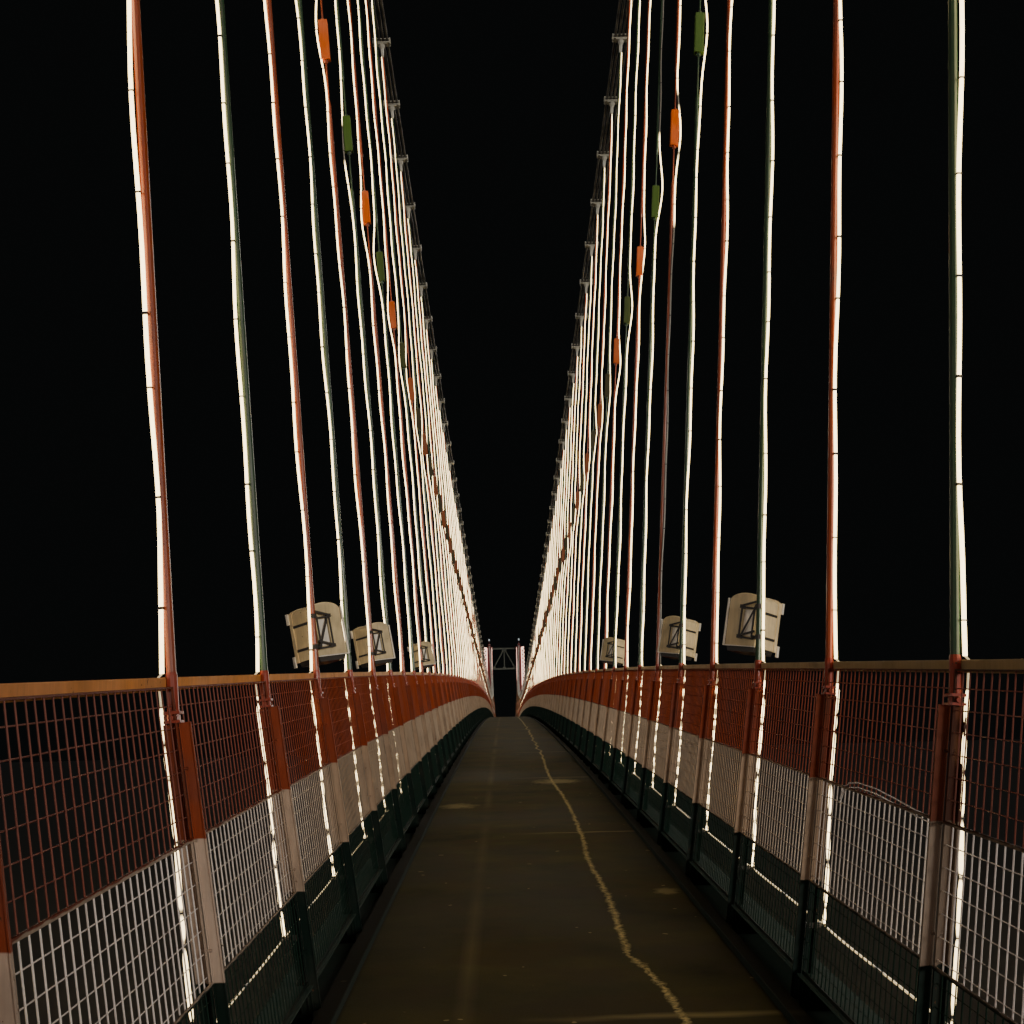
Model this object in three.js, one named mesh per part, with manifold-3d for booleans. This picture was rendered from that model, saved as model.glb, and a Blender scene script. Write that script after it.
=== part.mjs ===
// Suspension footbridge, as a 1:10 scale model.
//
// Two portal towers stand on piers. A flat bundle of ropes on each side runs over
// the tower saddles, sags to just above the arched deck at midspan, and is tied
// back to a concrete anchor block on each bank. Slim hanger rods drop from the
// ropes to the side frames of a narrow walkway.
//
// Frame: millimetres, +Y along the bridge, +X to the right, +Z up. The origin is
// on the ground, in the middle of the span.

import * as THREE from 'three';
import { mergeVertices } from 'three/addons/utils/BufferGeometryUtils.js';
import Module from 'manifold-3d';

// One metre of the real bridge, in millimetres of the model.
const M = 100;

// Clearance between two pieces that rest against each other.
const SEAT = 0.3;

// Span and levels
const PANEL = 1.87 * M;            // from one hanger to the next
const HALF_PANELS = 68;            // hanger spacings from midspan to a tower
const HALF_SPAN = PANEL * HALF_PANELS;
const END_HANGER = HALF_PANELS - 1;
const SPLIT_HANGER = 22;           // last hanger of the middle length
const DECK_END = 4.2 * M;          // walkway level at the towers, above the ground
const CAMBER = 3.88 * M;           // rise of the walkway from a tower to midspan
const CABLE_TOP = 19.66 * M;       // cable above the walkway, at a tower
const CABLE_LOW = 2.64 * M;        // cable above the walkway, at midspan
const DECK_OVERRUN = 1.6 * M;      // how far the walkway runs on past a tower

// Walkway
const SLAB_HALF_WIDTH = 1.09 * M;
const SLAB_THICKNESS = 0.1 * M;
const FLOOR_PLATE = 0.02 * M;
const CROSS_BEAM_HALF_LENGTH = 1.38 * M;
const CROSS_BEAM_DEPTH = 0.2 * M;
const CROSS_BEAM_WIDTH = 0.12 * M;

// Side frames: an edge girder, and the screen of posts and mesh that leans outward
const GIRDER_IN = 1.12 * M;
const GIRDER_OUT = 1.28 * M;
const GIRDER_TOP = 0.08 * M;
const SCREEN_FOOT = 1.13 * M;
const SCREEN_HEAD = 1.356 * M;
const SCREEN_THICKNESS = 0.03 * M;

// Top rail and hangers
const RAIL_HEIGHT = 1.53 * M;      // top of the rail above the walkway
const RAIL_DEPTH = 0.045 * M;
const ROD = 0.032 * M;
const ROD_LEAN = 0.0721;           // outward, for each unit of height

// Ropes: four side by side, modelled as one flat bundle
const ROPES_WIDTH = 0.26 * M;
const ROPES_DEPTH = 0.05 * M;
const ROPE_STEP = 2;               // panels between bends of the bundle
const DECK_STEP = 4;               // panels between bends of the walkway
const BACKSTAY_REACH = 30 * M;     // tower to anchor block, along the ground
const BACKSTAY_FOOT = 0.9 * M;     // where it enters the block, above the walkway

// Towers
const LEG_FOOT = [1.2 * M, 1.3 * M];
const LEG_HEAD = [1.1 * M, 1.0 * M];
const LEG_PLATE = [1.5 * M, 1.7 * M];
const LEG_PLATE_THICKNESS = 0.1 * M;
const CAP_PLATE = [1.24 * M, 1.34 * M];
const SADDLE_LENGTH = 1.2 * M;
const SADDLE_WIDTH = 0.4 * M;
const SADDLE_HEIGHT = 0.35 * M;    // from the cap plate to the ropes
const SADDLE_SHOULDER = 0.03 * M;  // above the ropes, at the saddle's ends
const SADDLE_CROWN = 0.16 * M;     // rise of its crown from there
const SADDLE_ARC_STEPS = 8;
const BACKSTAY_DROP = 0.2 * M;     // below the ropes' top, at the saddle's land face
const TRUSS_TOP = 0.63 * M;        // below the ropes
const TRUSS_DEPTH = 3.6 * M;
const TRUSS_CHORD = 0.28 * M;
const TRUSS_BRACE = 0.2 * M;
const PIER_TOP = [7.2 * M, 4.0 * M];
const PIER_FOOT = [7.7 * M, 4.5 * M];
const PIER_CAP = 0.5 * M;          // height of the pier's upright top
const ANCHOR = [2.4 * M, 5.0 * M];
const ANCHOR_RISE = 1.6 * M;       // top of the block, above the walkway's end
const ANCHOR_SLOPE = [1.6 * M, 0.9 * M]; // length and height of its sloping back

// Lamp housings, each hung on the far side of a hanger rod just above the rail
const HOUSING = [0.24 * M, 0.24 * M, 0.3 * M];
const HOUSING_LIFT = 0.1 * M;
const HOUSING_GAP = 0.04 * M;      // from the rod to the housing's nearest edge
const HOOD_RISE = 0.045 * M;
const ARM = 0.04 * M;              // thickness of a bracket arm
const HOUSING_TURN = 45;           // degrees, so that one face looks at the walkway
const HOUSING_TILT = 10;           // degrees, its top leaning outward
const FIRST_HANGER = -63;          // the hangers of the housings count from here
const HOUSING_HANGERS = [3, 5, 9];

// The lamp on a saddle: radius and height above the crown, in real metres
const LAMP_PROFILE = [
  [0, -0.06],
  [0.09, -0.06],
  [0.09, 0.06],
  [0.035, 0.1],
  [0.035, 0.52],
  [0.07, 0.55],
  [0.15, 0.66],
  [0.17, 0.78],
  [0.12, 0.9],
  [0.04, 0.96],
  [0, 0.98],
];
const LAMP_SIDES = 12;

const SIDES = { left: -1, right: 1 };
const BANKS = { near: -1, far: 1 };

// The span is made in three lengths, split midway between two hangers.
const LENGTHS = {
  near: [-END_HANGER, -SPLIT_HANGER - 1],
  middle: [-SPLIT_HANGER, SPLIT_HANGER],
  far: [SPLIT_HANGER + 1, END_HANGER],
};

const COLOURS = {
  saffron: 0xc8641e,
  green: 0x1f5b38,
  steel: 0x8a8884,
  asphalt: 0x3a3830,
  concrete: 0x9a958a,
  maroon: 0x6d2020,
  cream: 0xd8c89a,
};

// Lines of the bridge

function walkwayLevel(y) {
  return DECK_END + CAMBER * (1 - (y / HALF_SPAN) ** 2);
}

function ropeLevel(y) {
  const low = DECK_END + CAMBER + CABLE_LOW;
  const top = DECK_END + CABLE_TOP;
  return low + (top - low) * (y / HALF_SPAN) ** 2;
}

function rodOffset(y, z) {
  return SCREEN_HEAD + ROD_LEAN * (z - walkwayLevel(y) - RAIL_HEIGHT);
}

const ROPE_OFFSET_AT_TOWER = rodOffset(HALF_SPAN, DECK_END + CABLE_TOP);

// The bundle is straight between its bends, so a hanger meets the chord.
function ropeChord(y) {
  const step = ROPE_STEP * PANEL;
  const start = Math.floor(y / step) * step;
  const t = (y - start) / step;
  return ropeLevel(start) * (1 - t) + ropeLevel(start + step) * t;
}

// Closed meshes

function volumeOf(points, faces) {
  let sum = 0;
  for (const [a, b, c] of faces) {
    const cross = new THREE.Vector3().crossVectors(points[b], points[c]);
    sum += points[a].dot(cross) / 6;
  }
  return sum;
}

function closedGeometry(points, faces) {
  const outward = volumeOf(points, faces) > 0;
  const index = faces.flatMap(([a, b, c]) => (outward ? [a, b, c] : [a, c, b]));
  const geometry = new THREE.BufferGeometry().setFromPoints(points);
  geometry.setIndex(index);
  return geometry;
}

// Joins rings of equally many points into one closed body. The end rings are capped.
function loft(rings, flatten) {
  const count = rings[0].length;
  const points = rings.flat();
  const faces = [];
  for (let r = 0; r + 1 < rings.length; r += 1) {
    for (let i = 0; i < count; i += 1) {
      const j = (i + 1) % count;
      const [a, b] = [r * count + i, r * count + j];
      faces.push([a, b, b + count], [a, b + count, a + count]);
    }
  }
  const lid = THREE.ShapeUtils.triangulateShape(rings[0].map(flatten), []);
  const last = (rings.length - 1) * count;
  for (const [a, b, c] of lid) {
    faces.push([c, b, a], [last + a, last + b, last + c]);
  }
  return closedGeometry(points, consistent(faces, lid.length));
}

// The lids come from a triangulation that may run either way round the ring, so
// they are turned to agree with the walls, edge for edge.
function consistent(faces, lidCount) {
  const walls = faces.slice(0, faces.length - 2 * lidCount);
  const lids = faces.slice(faces.length - 2 * lidCount);
  const edges = new Set(walls.flatMap(([a, b, c]) => [`${a}>${b}`, `${b}>${c}`, `${c}>${a}`]));
  const clash = lids.some(([a, b, c]) => (
    edges.has(`${a}>${b}`) || edges.has(`${b}>${c}`) || edges.has(`${c}>${a}`)));
  return walls.concat(clash ? lids.map(([a, b, c]) => [a, c, b]) : lids);
}

// A section of [x, z] points carried along Y, from one station to the next.
function sweepAlongY(stations, sectionAt) {
  const rings = stations.map((y) => (
    sectionAt(y).map(([x, z]) => new THREE.Vector3(x, y, z))));
  return loft(rings, (p) => new THREE.Vector2(p.x, p.z));
}

// An outline of [y, z] points with a thickness in X, its middle at offset(y, z).
function plateAcrossX(outline, thickness, offset) {
  const ringAt = (half) => outline.map(([y, z]) => (
    new THREE.Vector3(offset(y, z) + half * thickness / 2, y, z)));
  return loft([ringAt(-1), ringAt(1)], (p) => new THREE.Vector2(p.y, p.z));
}

// Rectangles stacked along Z, given as [width, length, level] round a centre.
function stack(centreX, centreY, levels) {
  const rings = levels.map(([width, length, z]) => [
    new THREE.Vector3(centreX - width / 2, centreY - length / 2, z),
    new THREE.Vector3(centreX + width / 2, centreY - length / 2, z),
    new THREE.Vector3(centreX + width / 2, centreY + length / 2, z),
    new THREE.Vector3(centreX - width / 2, centreY + length / 2, z),
  ]);
  return loft(rings, (p) => new THREE.Vector2(p.x, p.y));
}

// Joins and cuts

const wasm = await Module();
wasm.setup();

function toSolid(geometry) {
  const bare = geometry.clone();
  bare.deleteAttribute('normal');
  bare.deleteAttribute('uv');
  const merged = mergeVertices(bare, 1e-4);
  const vertProperties = new Float32Array(merged.attributes.position.array);
  const triVerts = new Uint32Array(merged.index.array);
  return new wasm.Manifold(new wasm.Mesh({ numProp: 3, vertProperties, triVerts }));
}

function joined(geometries) {
  const solid = geometries.map(toSolid).reduce((sum, next) => sum.add(next));
  const { vertProperties, triVerts } = solid.getMesh();
  const geometry = new THREE.BufferGeometry();
  geometry.setAttribute('position', new THREE.BufferAttribute(vertProperties, 3));
  geometry.setIndex(new THREE.BufferAttribute(triVerts, 1));
  return geometry;
}

function box(width, length, height, x, y, z) {
  return new THREE.BoxGeometry(width, length, height).translate(x, y, z);
}

// A square bar between two points of a plane that faces along Y.
function barInXZ(from, to, width, length, y) {
  const run = new THREE.Vector2(to[0] - from[0], to[1] - from[1]);
  const bar = new THREE.BoxGeometry(run.length(), length, width);
  bar.rotateY(-run.angle());
  return bar.translate((from[0] + to[0]) / 2, y, (from[1] + to[1]) / 2);
}

// Stations

// The ends of a length, with half the seat clearance where two lengths meet.
function lengthEnds([first, last]) {
  const past = HALF_SPAN + DECK_OVERRUN;
  const joint = (PANEL - SEAT) / 2;
  const low = first === -END_HANGER ? -past : first * PANEL - joint;
  const high = last === END_HANGER ? past : last * PANEL + joint;
  return [low, high];
}

// Bends of the walkway inside a length, with the towers and the ends.
function walkwayStations(range) {
  const [low, high] = lengthEnds(range);
  const inner = [];
  for (let k = -HALF_PANELS; k <= HALF_PANELS; k += DECK_STEP) {
    const y = k * PANEL;
    if (y > low + PANEL / 4 && y < high - PANEL / 4) {
      inner.push(y);
    }
  }
  return [low, ...inner, high];
}

function hangerStations([first, last]) {
  const list = [];
  for (let k = first; k <= last; k += 1) {
    list.push(k * PANEL);
  }
  return list;
}

// Pieces

function walkwaySlab(range) {
  return sweepAlongY(walkwayStations(range), (y) => {
    const top = walkwayLevel(y);
    return [
      [-SLAB_HALF_WIDTH, top - SLAB_THICKNESS],
      [SLAB_HALF_WIDTH, top - SLAB_THICKNESS],
      [SLAB_HALF_WIDTH, top],
      [-SLAB_HALF_WIDTH, top],
    ];
  });
}

// Along the bridge, a level between two bends lies on the chord between them.
function onChord(stations, level, y) {
  const i = Math.max(1, stations.findIndex((s) => s >= y));
  const t = (y - stations[i - 1]) / (stations[i] - stations[i - 1]);
  return level(stations[i - 1]) * (1 - t) + level(stations[i]) * t;
}

const UNDER_SLAB = SLAB_THICKNESS + SEAT;

// A floor plate with a cross beam below it at every hanger.
function floorFrame(range) {
  const stations = walkwayStations(range);
  const [low, high] = lengthEnds(range);
  const level = (y) => onChord(stations, walkwayLevel, y) - UNDER_SLAB;
  const beams = hangerStations(range);
  if (range[0] === -END_HANGER) {
    beams.unshift(-HALF_SPAN);
  }
  if (range[1] === END_HANGER) {
    beams.push(HALF_SPAN);
  }
  const outline = stations.map((y) => [y, walkwayLevel(y) - UNDER_SLAB]);
  outline.push([high, level(high) - FLOOR_PLATE]);
  for (const y of beams.reverse()) {
    const [left, right] = [y - CROSS_BEAM_WIDTH / 2, y + CROSS_BEAM_WIDTH / 2];
    const foot = level(y) - FLOOR_PLATE - CROSS_BEAM_DEPTH;
    outline.push([right, level(right) - FLOOR_PLATE], [right, foot]);
    outline.push([left, foot], [left, level(left) - FLOOR_PLATE]);
  }
  outline.push([low, level(low) - FLOOR_PLATE]);
  return plateAcrossX(outline, 2 * CROSS_BEAM_HALF_LENGTH, () => 0);
}

// Edge girder with the leaning screen on it, up to the underside of the top rail.
function sideFrame(side, range) {
  const foot = -UNDER_SLAB + SEAT;
  const head = RAIL_HEIGHT - RAIL_DEPTH - 2 * SEAT;
  const lean = (SCREEN_HEAD - SCREEN_FOOT) / RAIL_HEIGHT;
  const headX = SCREEN_FOOT + lean * head;
  const footX = SCREEN_FOOT + lean * GIRDER_TOP;
  const half = SCREEN_THICKNESS / 2;
  return sweepAlongY(walkwayStations(range), (y) => {
    const z = walkwayLevel(y);
    return [
      [side * GIRDER_IN, z + foot],
      [side * GIRDER_OUT, z + foot],
      [side * GIRDER_OUT, z + GIRDER_TOP],
      [side * (footX + half), z + GIRDER_TOP],
      [side * (headX + half), z + head],
      [side * (headX - half), z + head],
      [side * (footX - half), z + GIRDER_TOP],
      [side * GIRDER_IN, z + GIRDER_TOP],
    ];
  });
}

// The top rail of one length, with its hanger rods standing on it like a comb.
function hangerRods(side, range) {
  const stations = walkwayStations(range);
  const railTop = (y) => onChord(stations, walkwayLevel, y) + RAIL_HEIGHT;
  const outline = stations.map((y) => [y, walkwayLevel(y) + RAIL_HEIGHT - RAIL_DEPTH]);
  const [low, high] = lengthEnds(range);
  outline.push([high, railTop(high)]);
  for (const y of hangerStations(range).reverse()) {
    const [left, right] = [y - ROD / 2, y + ROD / 2];
    const under = -ROPES_DEPTH / 2 - SEAT;
    outline.push([right, railTop(right)], [right, ropeChord(right) + under]);
    outline.push([left, ropeChord(left) + under], [left, railTop(left)]);
  }
  outline.push([low, railTop(low)]);
  return plateAcrossX(outline, ROD, (y, z) => side * rodOffset(y, z));
}

// The flat bundle of ropes between the two towers' saddles.
function mainRopes(side) {
  const end = HALF_SPAN - SADDLE_LENGTH / 2 - SEAT;
  const stations = [-end];
  for (let k = -HALF_PANELS + ROPE_STEP; k < HALF_PANELS; k += ROPE_STEP) {
    stations.push(k * PANEL);
  }
  stations.push(end);
  return sweepAlongY(stations, (y) => {
    const z = ropeChord(y);
    return ropeSection(side * rodOffset(y, z), z);
  });
}

function ropeSection(x, z) {
  return [
    [x - ROPES_WIDTH / 2, z - ROPES_DEPTH / 2],
    [x + ROPES_WIDTH / 2, z - ROPES_DEPTH / 2],
    [x + ROPES_WIDTH / 2, z + ROPES_DEPTH / 2],
    [x - ROPES_WIDTH / 2, z + ROPES_DEPTH / 2],
  ];
}

// The same bundle from a saddle down to its anchor block.
function backstay(side, bank) {
  const head = HALF_SPAN + SADDLE_LENGTH / 2 + SEAT;
  const foot = HALF_SPAN + BACKSTAY_REACH - SEAT;
  const levels = {
    [head]: DECK_END + CABLE_TOP - BACKSTAY_DROP,
    [foot]: DECK_END + BACKSTAY_FOOT,
  };
  const x = side * ROPE_OFFSET_AT_TOWER;
  const rings = [head, foot].map((y) => (
    ropeSection(x, levels[y]).map(([px, pz]) => new THREE.Vector3(px, bank * y, pz))));
  return loft(rings, (p) => new THREE.Vector2(p.x, p.z));
}

function anchorBlock(side, bank) {
  const [width, length] = ANCHOR;
  const [run, fall] = ANCHOR_SLOPE;
  const front = HALF_SPAN + BACKSTAY_REACH;
  const top = DECK_END + ANCHOR_RISE;
  const outline = [
    [bank * front, 0],
    [bank * (front + length), 0],
    [bank * (front + length), top - fall],
    [bank * (front + length - run), top],
    [bank * front, top],
  ];
  return plateAcrossX(outline, width, () => side * ROPE_OFFSET_AT_TOWER);
}

const PIER_LEVEL = DECK_END - UNDER_SLAB - FLOOR_PLATE - CROSS_BEAM_DEPTH - SEAT;

function pier(bank) {
  return stack(0, bank * HALF_SPAN, [
    [...PIER_FOOT, 0],
    [...PIER_TOP, PIER_LEVEL - PIER_CAP],
    [...PIER_TOP, PIER_LEVEL],
  ]);
}

const LEG_TOP = DECK_END + CABLE_TOP - SADDLE_HEIGHT;

function towerLeg(side, bank) {
  const base = PIER_LEVEL + SEAT;
  return stack(side * ROPE_OFFSET_AT_TOWER, bank * HALF_SPAN, [
    [...LEG_PLATE, base],
    [...LEG_PLATE, base + LEG_PLATE_THICKNESS],
    [...LEG_FOOT, base + LEG_PLATE_THICKNESS],
    [...LEG_HEAD, LEG_TOP - LEG_PLATE_THICKNESS],
    [...CAP_PLATE, LEG_TOP - LEG_PLATE_THICKNESS],
    [...CAP_PLATE, LEG_TOP],
  ]);
}

// The saddle casting on a tower leg, with a small lamp post and globe on its crown.
function saddle(side, bank) {
  const [x, y] = [side * ROPE_OFFSET_AT_TOWER, bank * HALF_SPAN];
  const half = SADDLE_LENGTH / 2;
  const base = LEG_TOP + SEAT;
  const shoulder = DECK_END + CABLE_TOP + SADDLE_SHOULDER;
  const outline = [[y - half, base], [y + half, base]];
  for (let i = 0; i <= SADDLE_ARC_STEPS; i += 1) {
    const t = 1 - 2 * i / SADDLE_ARC_STEPS;
    outline.push([y + half * t, shoulder + SADDLE_CROWN * (1 - t * t)]);
  }
  const body = plateAcrossX(outline, SADDLE_WIDTH, () => x);
  const profile = LAMP_PROFILE.map(([r, z]) => new THREE.Vector2(r * M, z * M));
  const lamp = new THREE.LatheGeometry(profile, LAMP_SIDES).rotateX(Math.PI / 2);
  lamp.translate(x, y, shoulder + SADDLE_CROWN);
  return joined([body, lamp]);
}

// Two chords, a centre post and two braces that meet at the middle of the top chord.
function topTruss(bank) {
  const y = bank * HALF_SPAN;
  const top = DECK_END + CABLE_TOP - TRUSS_TOP;
  const bottom = top - TRUSS_DEPTH;
  const legHalfAt = (z) => {
    const t = (z - DECK_END) / (LEG_TOP - DECK_END);
    return (LEG_FOOT[0] * (1 - t) + LEG_HEAD[0] * t) / 2;
  };
  const reachAt = (z) => ROPE_OFFSET_AT_TOWER - legHalfAt(z - TRUSS_CHORD / 2) - SEAT;
  const end = reachAt(bottom) - TRUSS_BRACE / 2;
  return joined([
    box(2 * reachAt(top), TRUSS_CHORD, TRUSS_CHORD, 0, y, top),
    box(2 * reachAt(bottom), TRUSS_CHORD, TRUSS_CHORD, 0, y, bottom),
    barInXZ([0, bottom], [0, top], TRUSS_BRACE, TRUSS_BRACE, y),
    barInXZ([0, top], [-end, bottom], TRUSS_BRACE, TRUSS_BRACE, y),
    barInXZ([0, top], [end, bottom], TRUSS_BRACE, TRUSS_BRACE, y),
  ]);
}

// A sheet-metal lamp housing with a hooped hood, and two arms back to the rod.
function lampHousing(side, station) {
  const [width, length, height] = HOUSING;
  const y = station * PANEL;
  const middle = walkwayLevel(y) + RAIL_HEIGHT + HOUSING_LIFT + height / 2;
  const turn = THREE.MathUtils.degToRad(-side * HOUSING_TURN);
  const tilt = THREE.MathUtils.degToRad(side * HOUSING_TILT);
  const rodFace = ROD / 2 + SEAT;
  const back = rodFace + HOUSING_GAP + Math.hypot(width, length) / 2;
  const hood = new THREE.CylinderGeometry(width / 2, width / 2, length, 16);
  hood.scale(1, 1, HOOD_RISE / (width / 2)).translate(0, 0, height / 2);
  const shell = [box(width, length, height, 0, 0, 0), hood].map((piece) => (
    piece.rotateZ(turn).rotateY(tilt).translate(0, back, 0)));
  const arms = [-1, 1].map((end) => {
    const rise = end * (height / 2 - ARM);
    const shift = side * ROD_LEAN * rise;
    return box(ARM, back - rodFace, ARM, shift, (back + rodFace) / 2, rise);
  });
  return joined([...shell, ...arms]).translate(side * rodOffset(y, middle), y, middle);
}

// Assembly

const bridge = new THREE.Group();

function add(name, colour, geometry, roughness = 0.6, metalness = 0.3) {
  const material = new THREE.MeshStandardMaterial({ color: colour, roughness, metalness });
  const mesh = new THREE.Mesh(geometry, material);
  mesh.name = name;
  bridge.add(mesh);
}

for (const [length, range] of Object.entries(LENGTHS)) {
  add(`walkway_slab_${length}`, COLOURS.asphalt, walkwaySlab(range), 0.9, 0);
  add(`floor_frame_${length}`, COLOURS.green, floorFrame(range));
  for (const [name, side] of Object.entries(SIDES)) {
    add(`side_frame_${name}_${length}`, COLOURS.green, sideFrame(side, range));
    add(`hanger_rods_${name}_${length}`, COLOURS.saffron, hangerRods(side, range));
  }
}

for (const [name, side] of Object.entries(SIDES)) {
  add(`main_ropes_${name}`, COLOURS.steel, mainRopes(side), 0.5, 0.8);
}

for (const [bankName, bank] of Object.entries(BANKS)) {
  add(`pier_${bankName}`, COLOURS.concrete, pier(bank), 0.9, 0);
  add(`top_truss_${bankName}`, COLOURS.maroon, topTruss(bank));
  for (const [name, side] of Object.entries(SIDES)) {
    add(`tower_leg_${bankName}_${name}`, COLOURS.maroon, towerLeg(side, bank));
    add(`saddle_${bankName}_${name}`, COLOURS.maroon, saddle(side, bank));
    add(`backstay_${bankName}_${name}`, COLOURS.steel, backstay(side, bank), 0.5, 0.8);
    add(`anchor_block_${bankName}_${name}`, COLOURS.concrete, anchorBlock(side, bank), 0.9, 0);
  }
}

for (const hanger of HOUSING_HANGERS) {
  const station = FIRST_HANGER + hanger - 1;
  for (const [name, side] of Object.entries(SIDES)) {
    add(`lamp_housing_${name}_${hanger}`, COLOURS.cream, lampHousing(side, station), 0.5, 0.1);
  }
}

export default bridge;
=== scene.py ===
# %% [markdown]
# # A suspension footbridge in steel, rope and light
#
# The bridge is modelled at a tenth of its real size. This script dresses the
# measured solids with the things that make the bridge itself: round hanger
# rods in two colours, strips of light tied to them, side screens of welded
# wire painted in three bands, four ropes a side with their clamps, and the
# towers.
# Every size below is in metres of the real bridge. One function at the end of
# the mesh making turns them into metres of the model.

import bpy
import numpy as np
from mathutils import Matrix


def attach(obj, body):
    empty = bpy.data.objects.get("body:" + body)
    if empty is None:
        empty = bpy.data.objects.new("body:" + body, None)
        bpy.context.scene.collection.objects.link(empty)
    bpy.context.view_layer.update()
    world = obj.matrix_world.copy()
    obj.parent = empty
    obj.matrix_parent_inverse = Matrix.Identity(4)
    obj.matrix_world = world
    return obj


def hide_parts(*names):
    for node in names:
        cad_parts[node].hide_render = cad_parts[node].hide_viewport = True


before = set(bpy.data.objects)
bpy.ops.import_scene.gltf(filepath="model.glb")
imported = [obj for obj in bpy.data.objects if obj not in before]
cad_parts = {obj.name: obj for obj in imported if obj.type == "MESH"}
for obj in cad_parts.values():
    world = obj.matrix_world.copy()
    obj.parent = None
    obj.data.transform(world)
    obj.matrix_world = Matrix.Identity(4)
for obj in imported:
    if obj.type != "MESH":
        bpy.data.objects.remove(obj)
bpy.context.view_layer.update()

# %% [markdown]
# ## The lines of the bridge
#
# A light suspension bridge is two curves. The walkway is arched upward a
# little, so that rain runs off it and so that it does not look as if it sags.
# The ropes hang between the towers. Both are parabolas of the distance from
# midspan. They could be drawn by hand as splines, but a formula gives the
# height of anything, at any place, so every piece below meets its neighbours.

# %% Walkway, ropes and hangers as formulas
MODEL = 0.1
PANEL = 1.87
HALF_PANELS = 68
HALF_SPAN = PANEL * HALF_PANELS
DECK_END = 4.2
CAMBER = 3.88
ROPE_TOP = 19.66
ROPE_LOW = 2.64
DECK_OVERRUN = 1.6
RAIL_HEIGHT = 1.53
RAIL_OFFSET = 1.356
ROD_LEAN = 0.0721
SCREEN_FOOT = 1.13
SCREEN_LEAN = (RAIL_OFFSET - SCREEN_FOOT) / RAIL_HEIGHT
SIDES = {"left": -1, "right": 1}
BANKS = {"near": -1, "far": 1}
FIRST_HANGER = -63


def walkway_level(y):
    """Height of the walkway: its end level plus the camber, less the camber
    times the square of the distance from midspan over half the span."""
    return DECK_END + CAMBER * (1 - (y / HALF_SPAN) ** 2)


def rope_height(y):
    """Height of the ropes above the walkway: least at midspan, growing with
    the square of the distance from there to the tower."""
    return ROPE_LOW + (ROPE_TOP - ROPE_LOW) * (y / HALF_SPAN) ** 2


def rod_offset(height):
    """Distance of a hanger rod from the middle of the walkway. It grows
    steadily with the height above the walkway, because the rods lean out."""
    return RAIL_OFFSET + ROD_LEAN * (height - RAIL_HEIGHT)


def screen_offset(height):
    """Distance of the side screen from the middle of the walkway."""
    return SCREEN_FOOT + SCREEN_LEAN * height


def place(side, offset, y, height):
    """Points from an offset to one side, a station and a height above the
    walkway, given as arrays that match each other."""
    offset, y, height = np.broadcast_arrays(offset, y, height)
    return np.stack([side * offset, y, walkway_level(y) + height], axis=-1)


hangers = np.arange(1 - HALF_PANELS, HALF_PANELS) * PANEL
stations = np.arange(-HALF_PANELS, HALF_PANELS + 1) * PANEL
print("hangers a side:", len(hangers), "span", round(2 * HALF_SPAN, 2), "m")

# %% [markdown]
# ## The camera
#
# The eye stands on the walkway, a little left of its middle and as high as a
# person's, and looks slightly up. The angles and the lens were worked out from
# the hangers, rails and far tower, so the picture falls on the same lines.
# A camera could be aimed with a constraint, but a matrix says exactly where
# its own right, up and back point, and nothing has to be solved afterwards.

# %% Camera at the eye of a walker
EYE = np.array([-0.2108, -122.635, 6.021])
PITCH = 0.166695
YAW = 0.008779
ROLL = -0.022894
FOCAL_PIXELS = 1388.2
IMAGE_PIXELS = 1024
SENSOR = 36.0

forward = np.array([np.sin(YAW) * np.cos(PITCH), np.cos(YAW) * np.cos(PITCH), np.sin(PITCH)])
level_right = np.array([np.cos(YAW), -np.sin(YAW), 0.0])
level_up = np.cross(level_right, forward)
right = np.cos(ROLL) * level_right + np.sin(ROLL) * level_up
up = np.cos(ROLL) * level_up - np.sin(ROLL) * level_right

camera_data = bpy.data.cameras.new("eye")
camera_data.sensor_width = SENSOR
camera_data.lens = FOCAL_PIXELS / IMAGE_PIXELS * SENSOR
camera_data.clip_start = 0.01
camera_data.clip_end = 400
camera = bpy.data.objects.new("eye", camera_data)
bpy.context.scene.collection.objects.link(camera)
turned = np.eye(4)
turned[:3, 0], turned[:3, 1], turned[:3, 2] = right, up, -forward
turned[:3, 3] = EYE * MODEL
camera.matrix_world = Matrix(turned.tolist())
bpy.context.scene.camera = camera
print("camera lens", round(camera_data.lens, 2), "mm")

# %% [markdown]
# ## Making meshes from arrays
#
# Nearly everything here is a bar: a rod, a wire, a rope, a rail, a strip of
# light. A bar is one flat section carried along a path. Blender could do this
# with a curve object and a bevel, but there are thousands of bars, so it is
# quicker to work out all their points at once as arrays and to hand Blender
# the finished faces.

# %% Bars, blocks and pieces
def unit(vectors):
    """Each vector divided by its own length."""
    return vectors / np.linalg.norm(vectors, axis=-1, keepdims=True)


def circle(sides, radius=1.0, turn=0.5):
    """Points at equal angles round a circle, counter-clockwise."""
    angle = 2 * np.pi * (np.arange(sides) + turn) / sides
    return radius * np.stack([np.cos(angle), np.sin(angle)], axis=-1)


def rectangle(width, height, corner=0.0):
    """A rectangle round its middle, with its corners cut off by that much."""
    x, y = width / 2, height / 2
    if corner == 0:
        return np.array([[-x, -y], [x, -y], [x, y], [-x, y]])
    c = corner
    return np.array([[c - x, -y], [x - c, -y], [x, c - y], [x, y - c],
                     [x - c, y], [c - x, y], [-x, y - c], [-x, c - y]])


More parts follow.
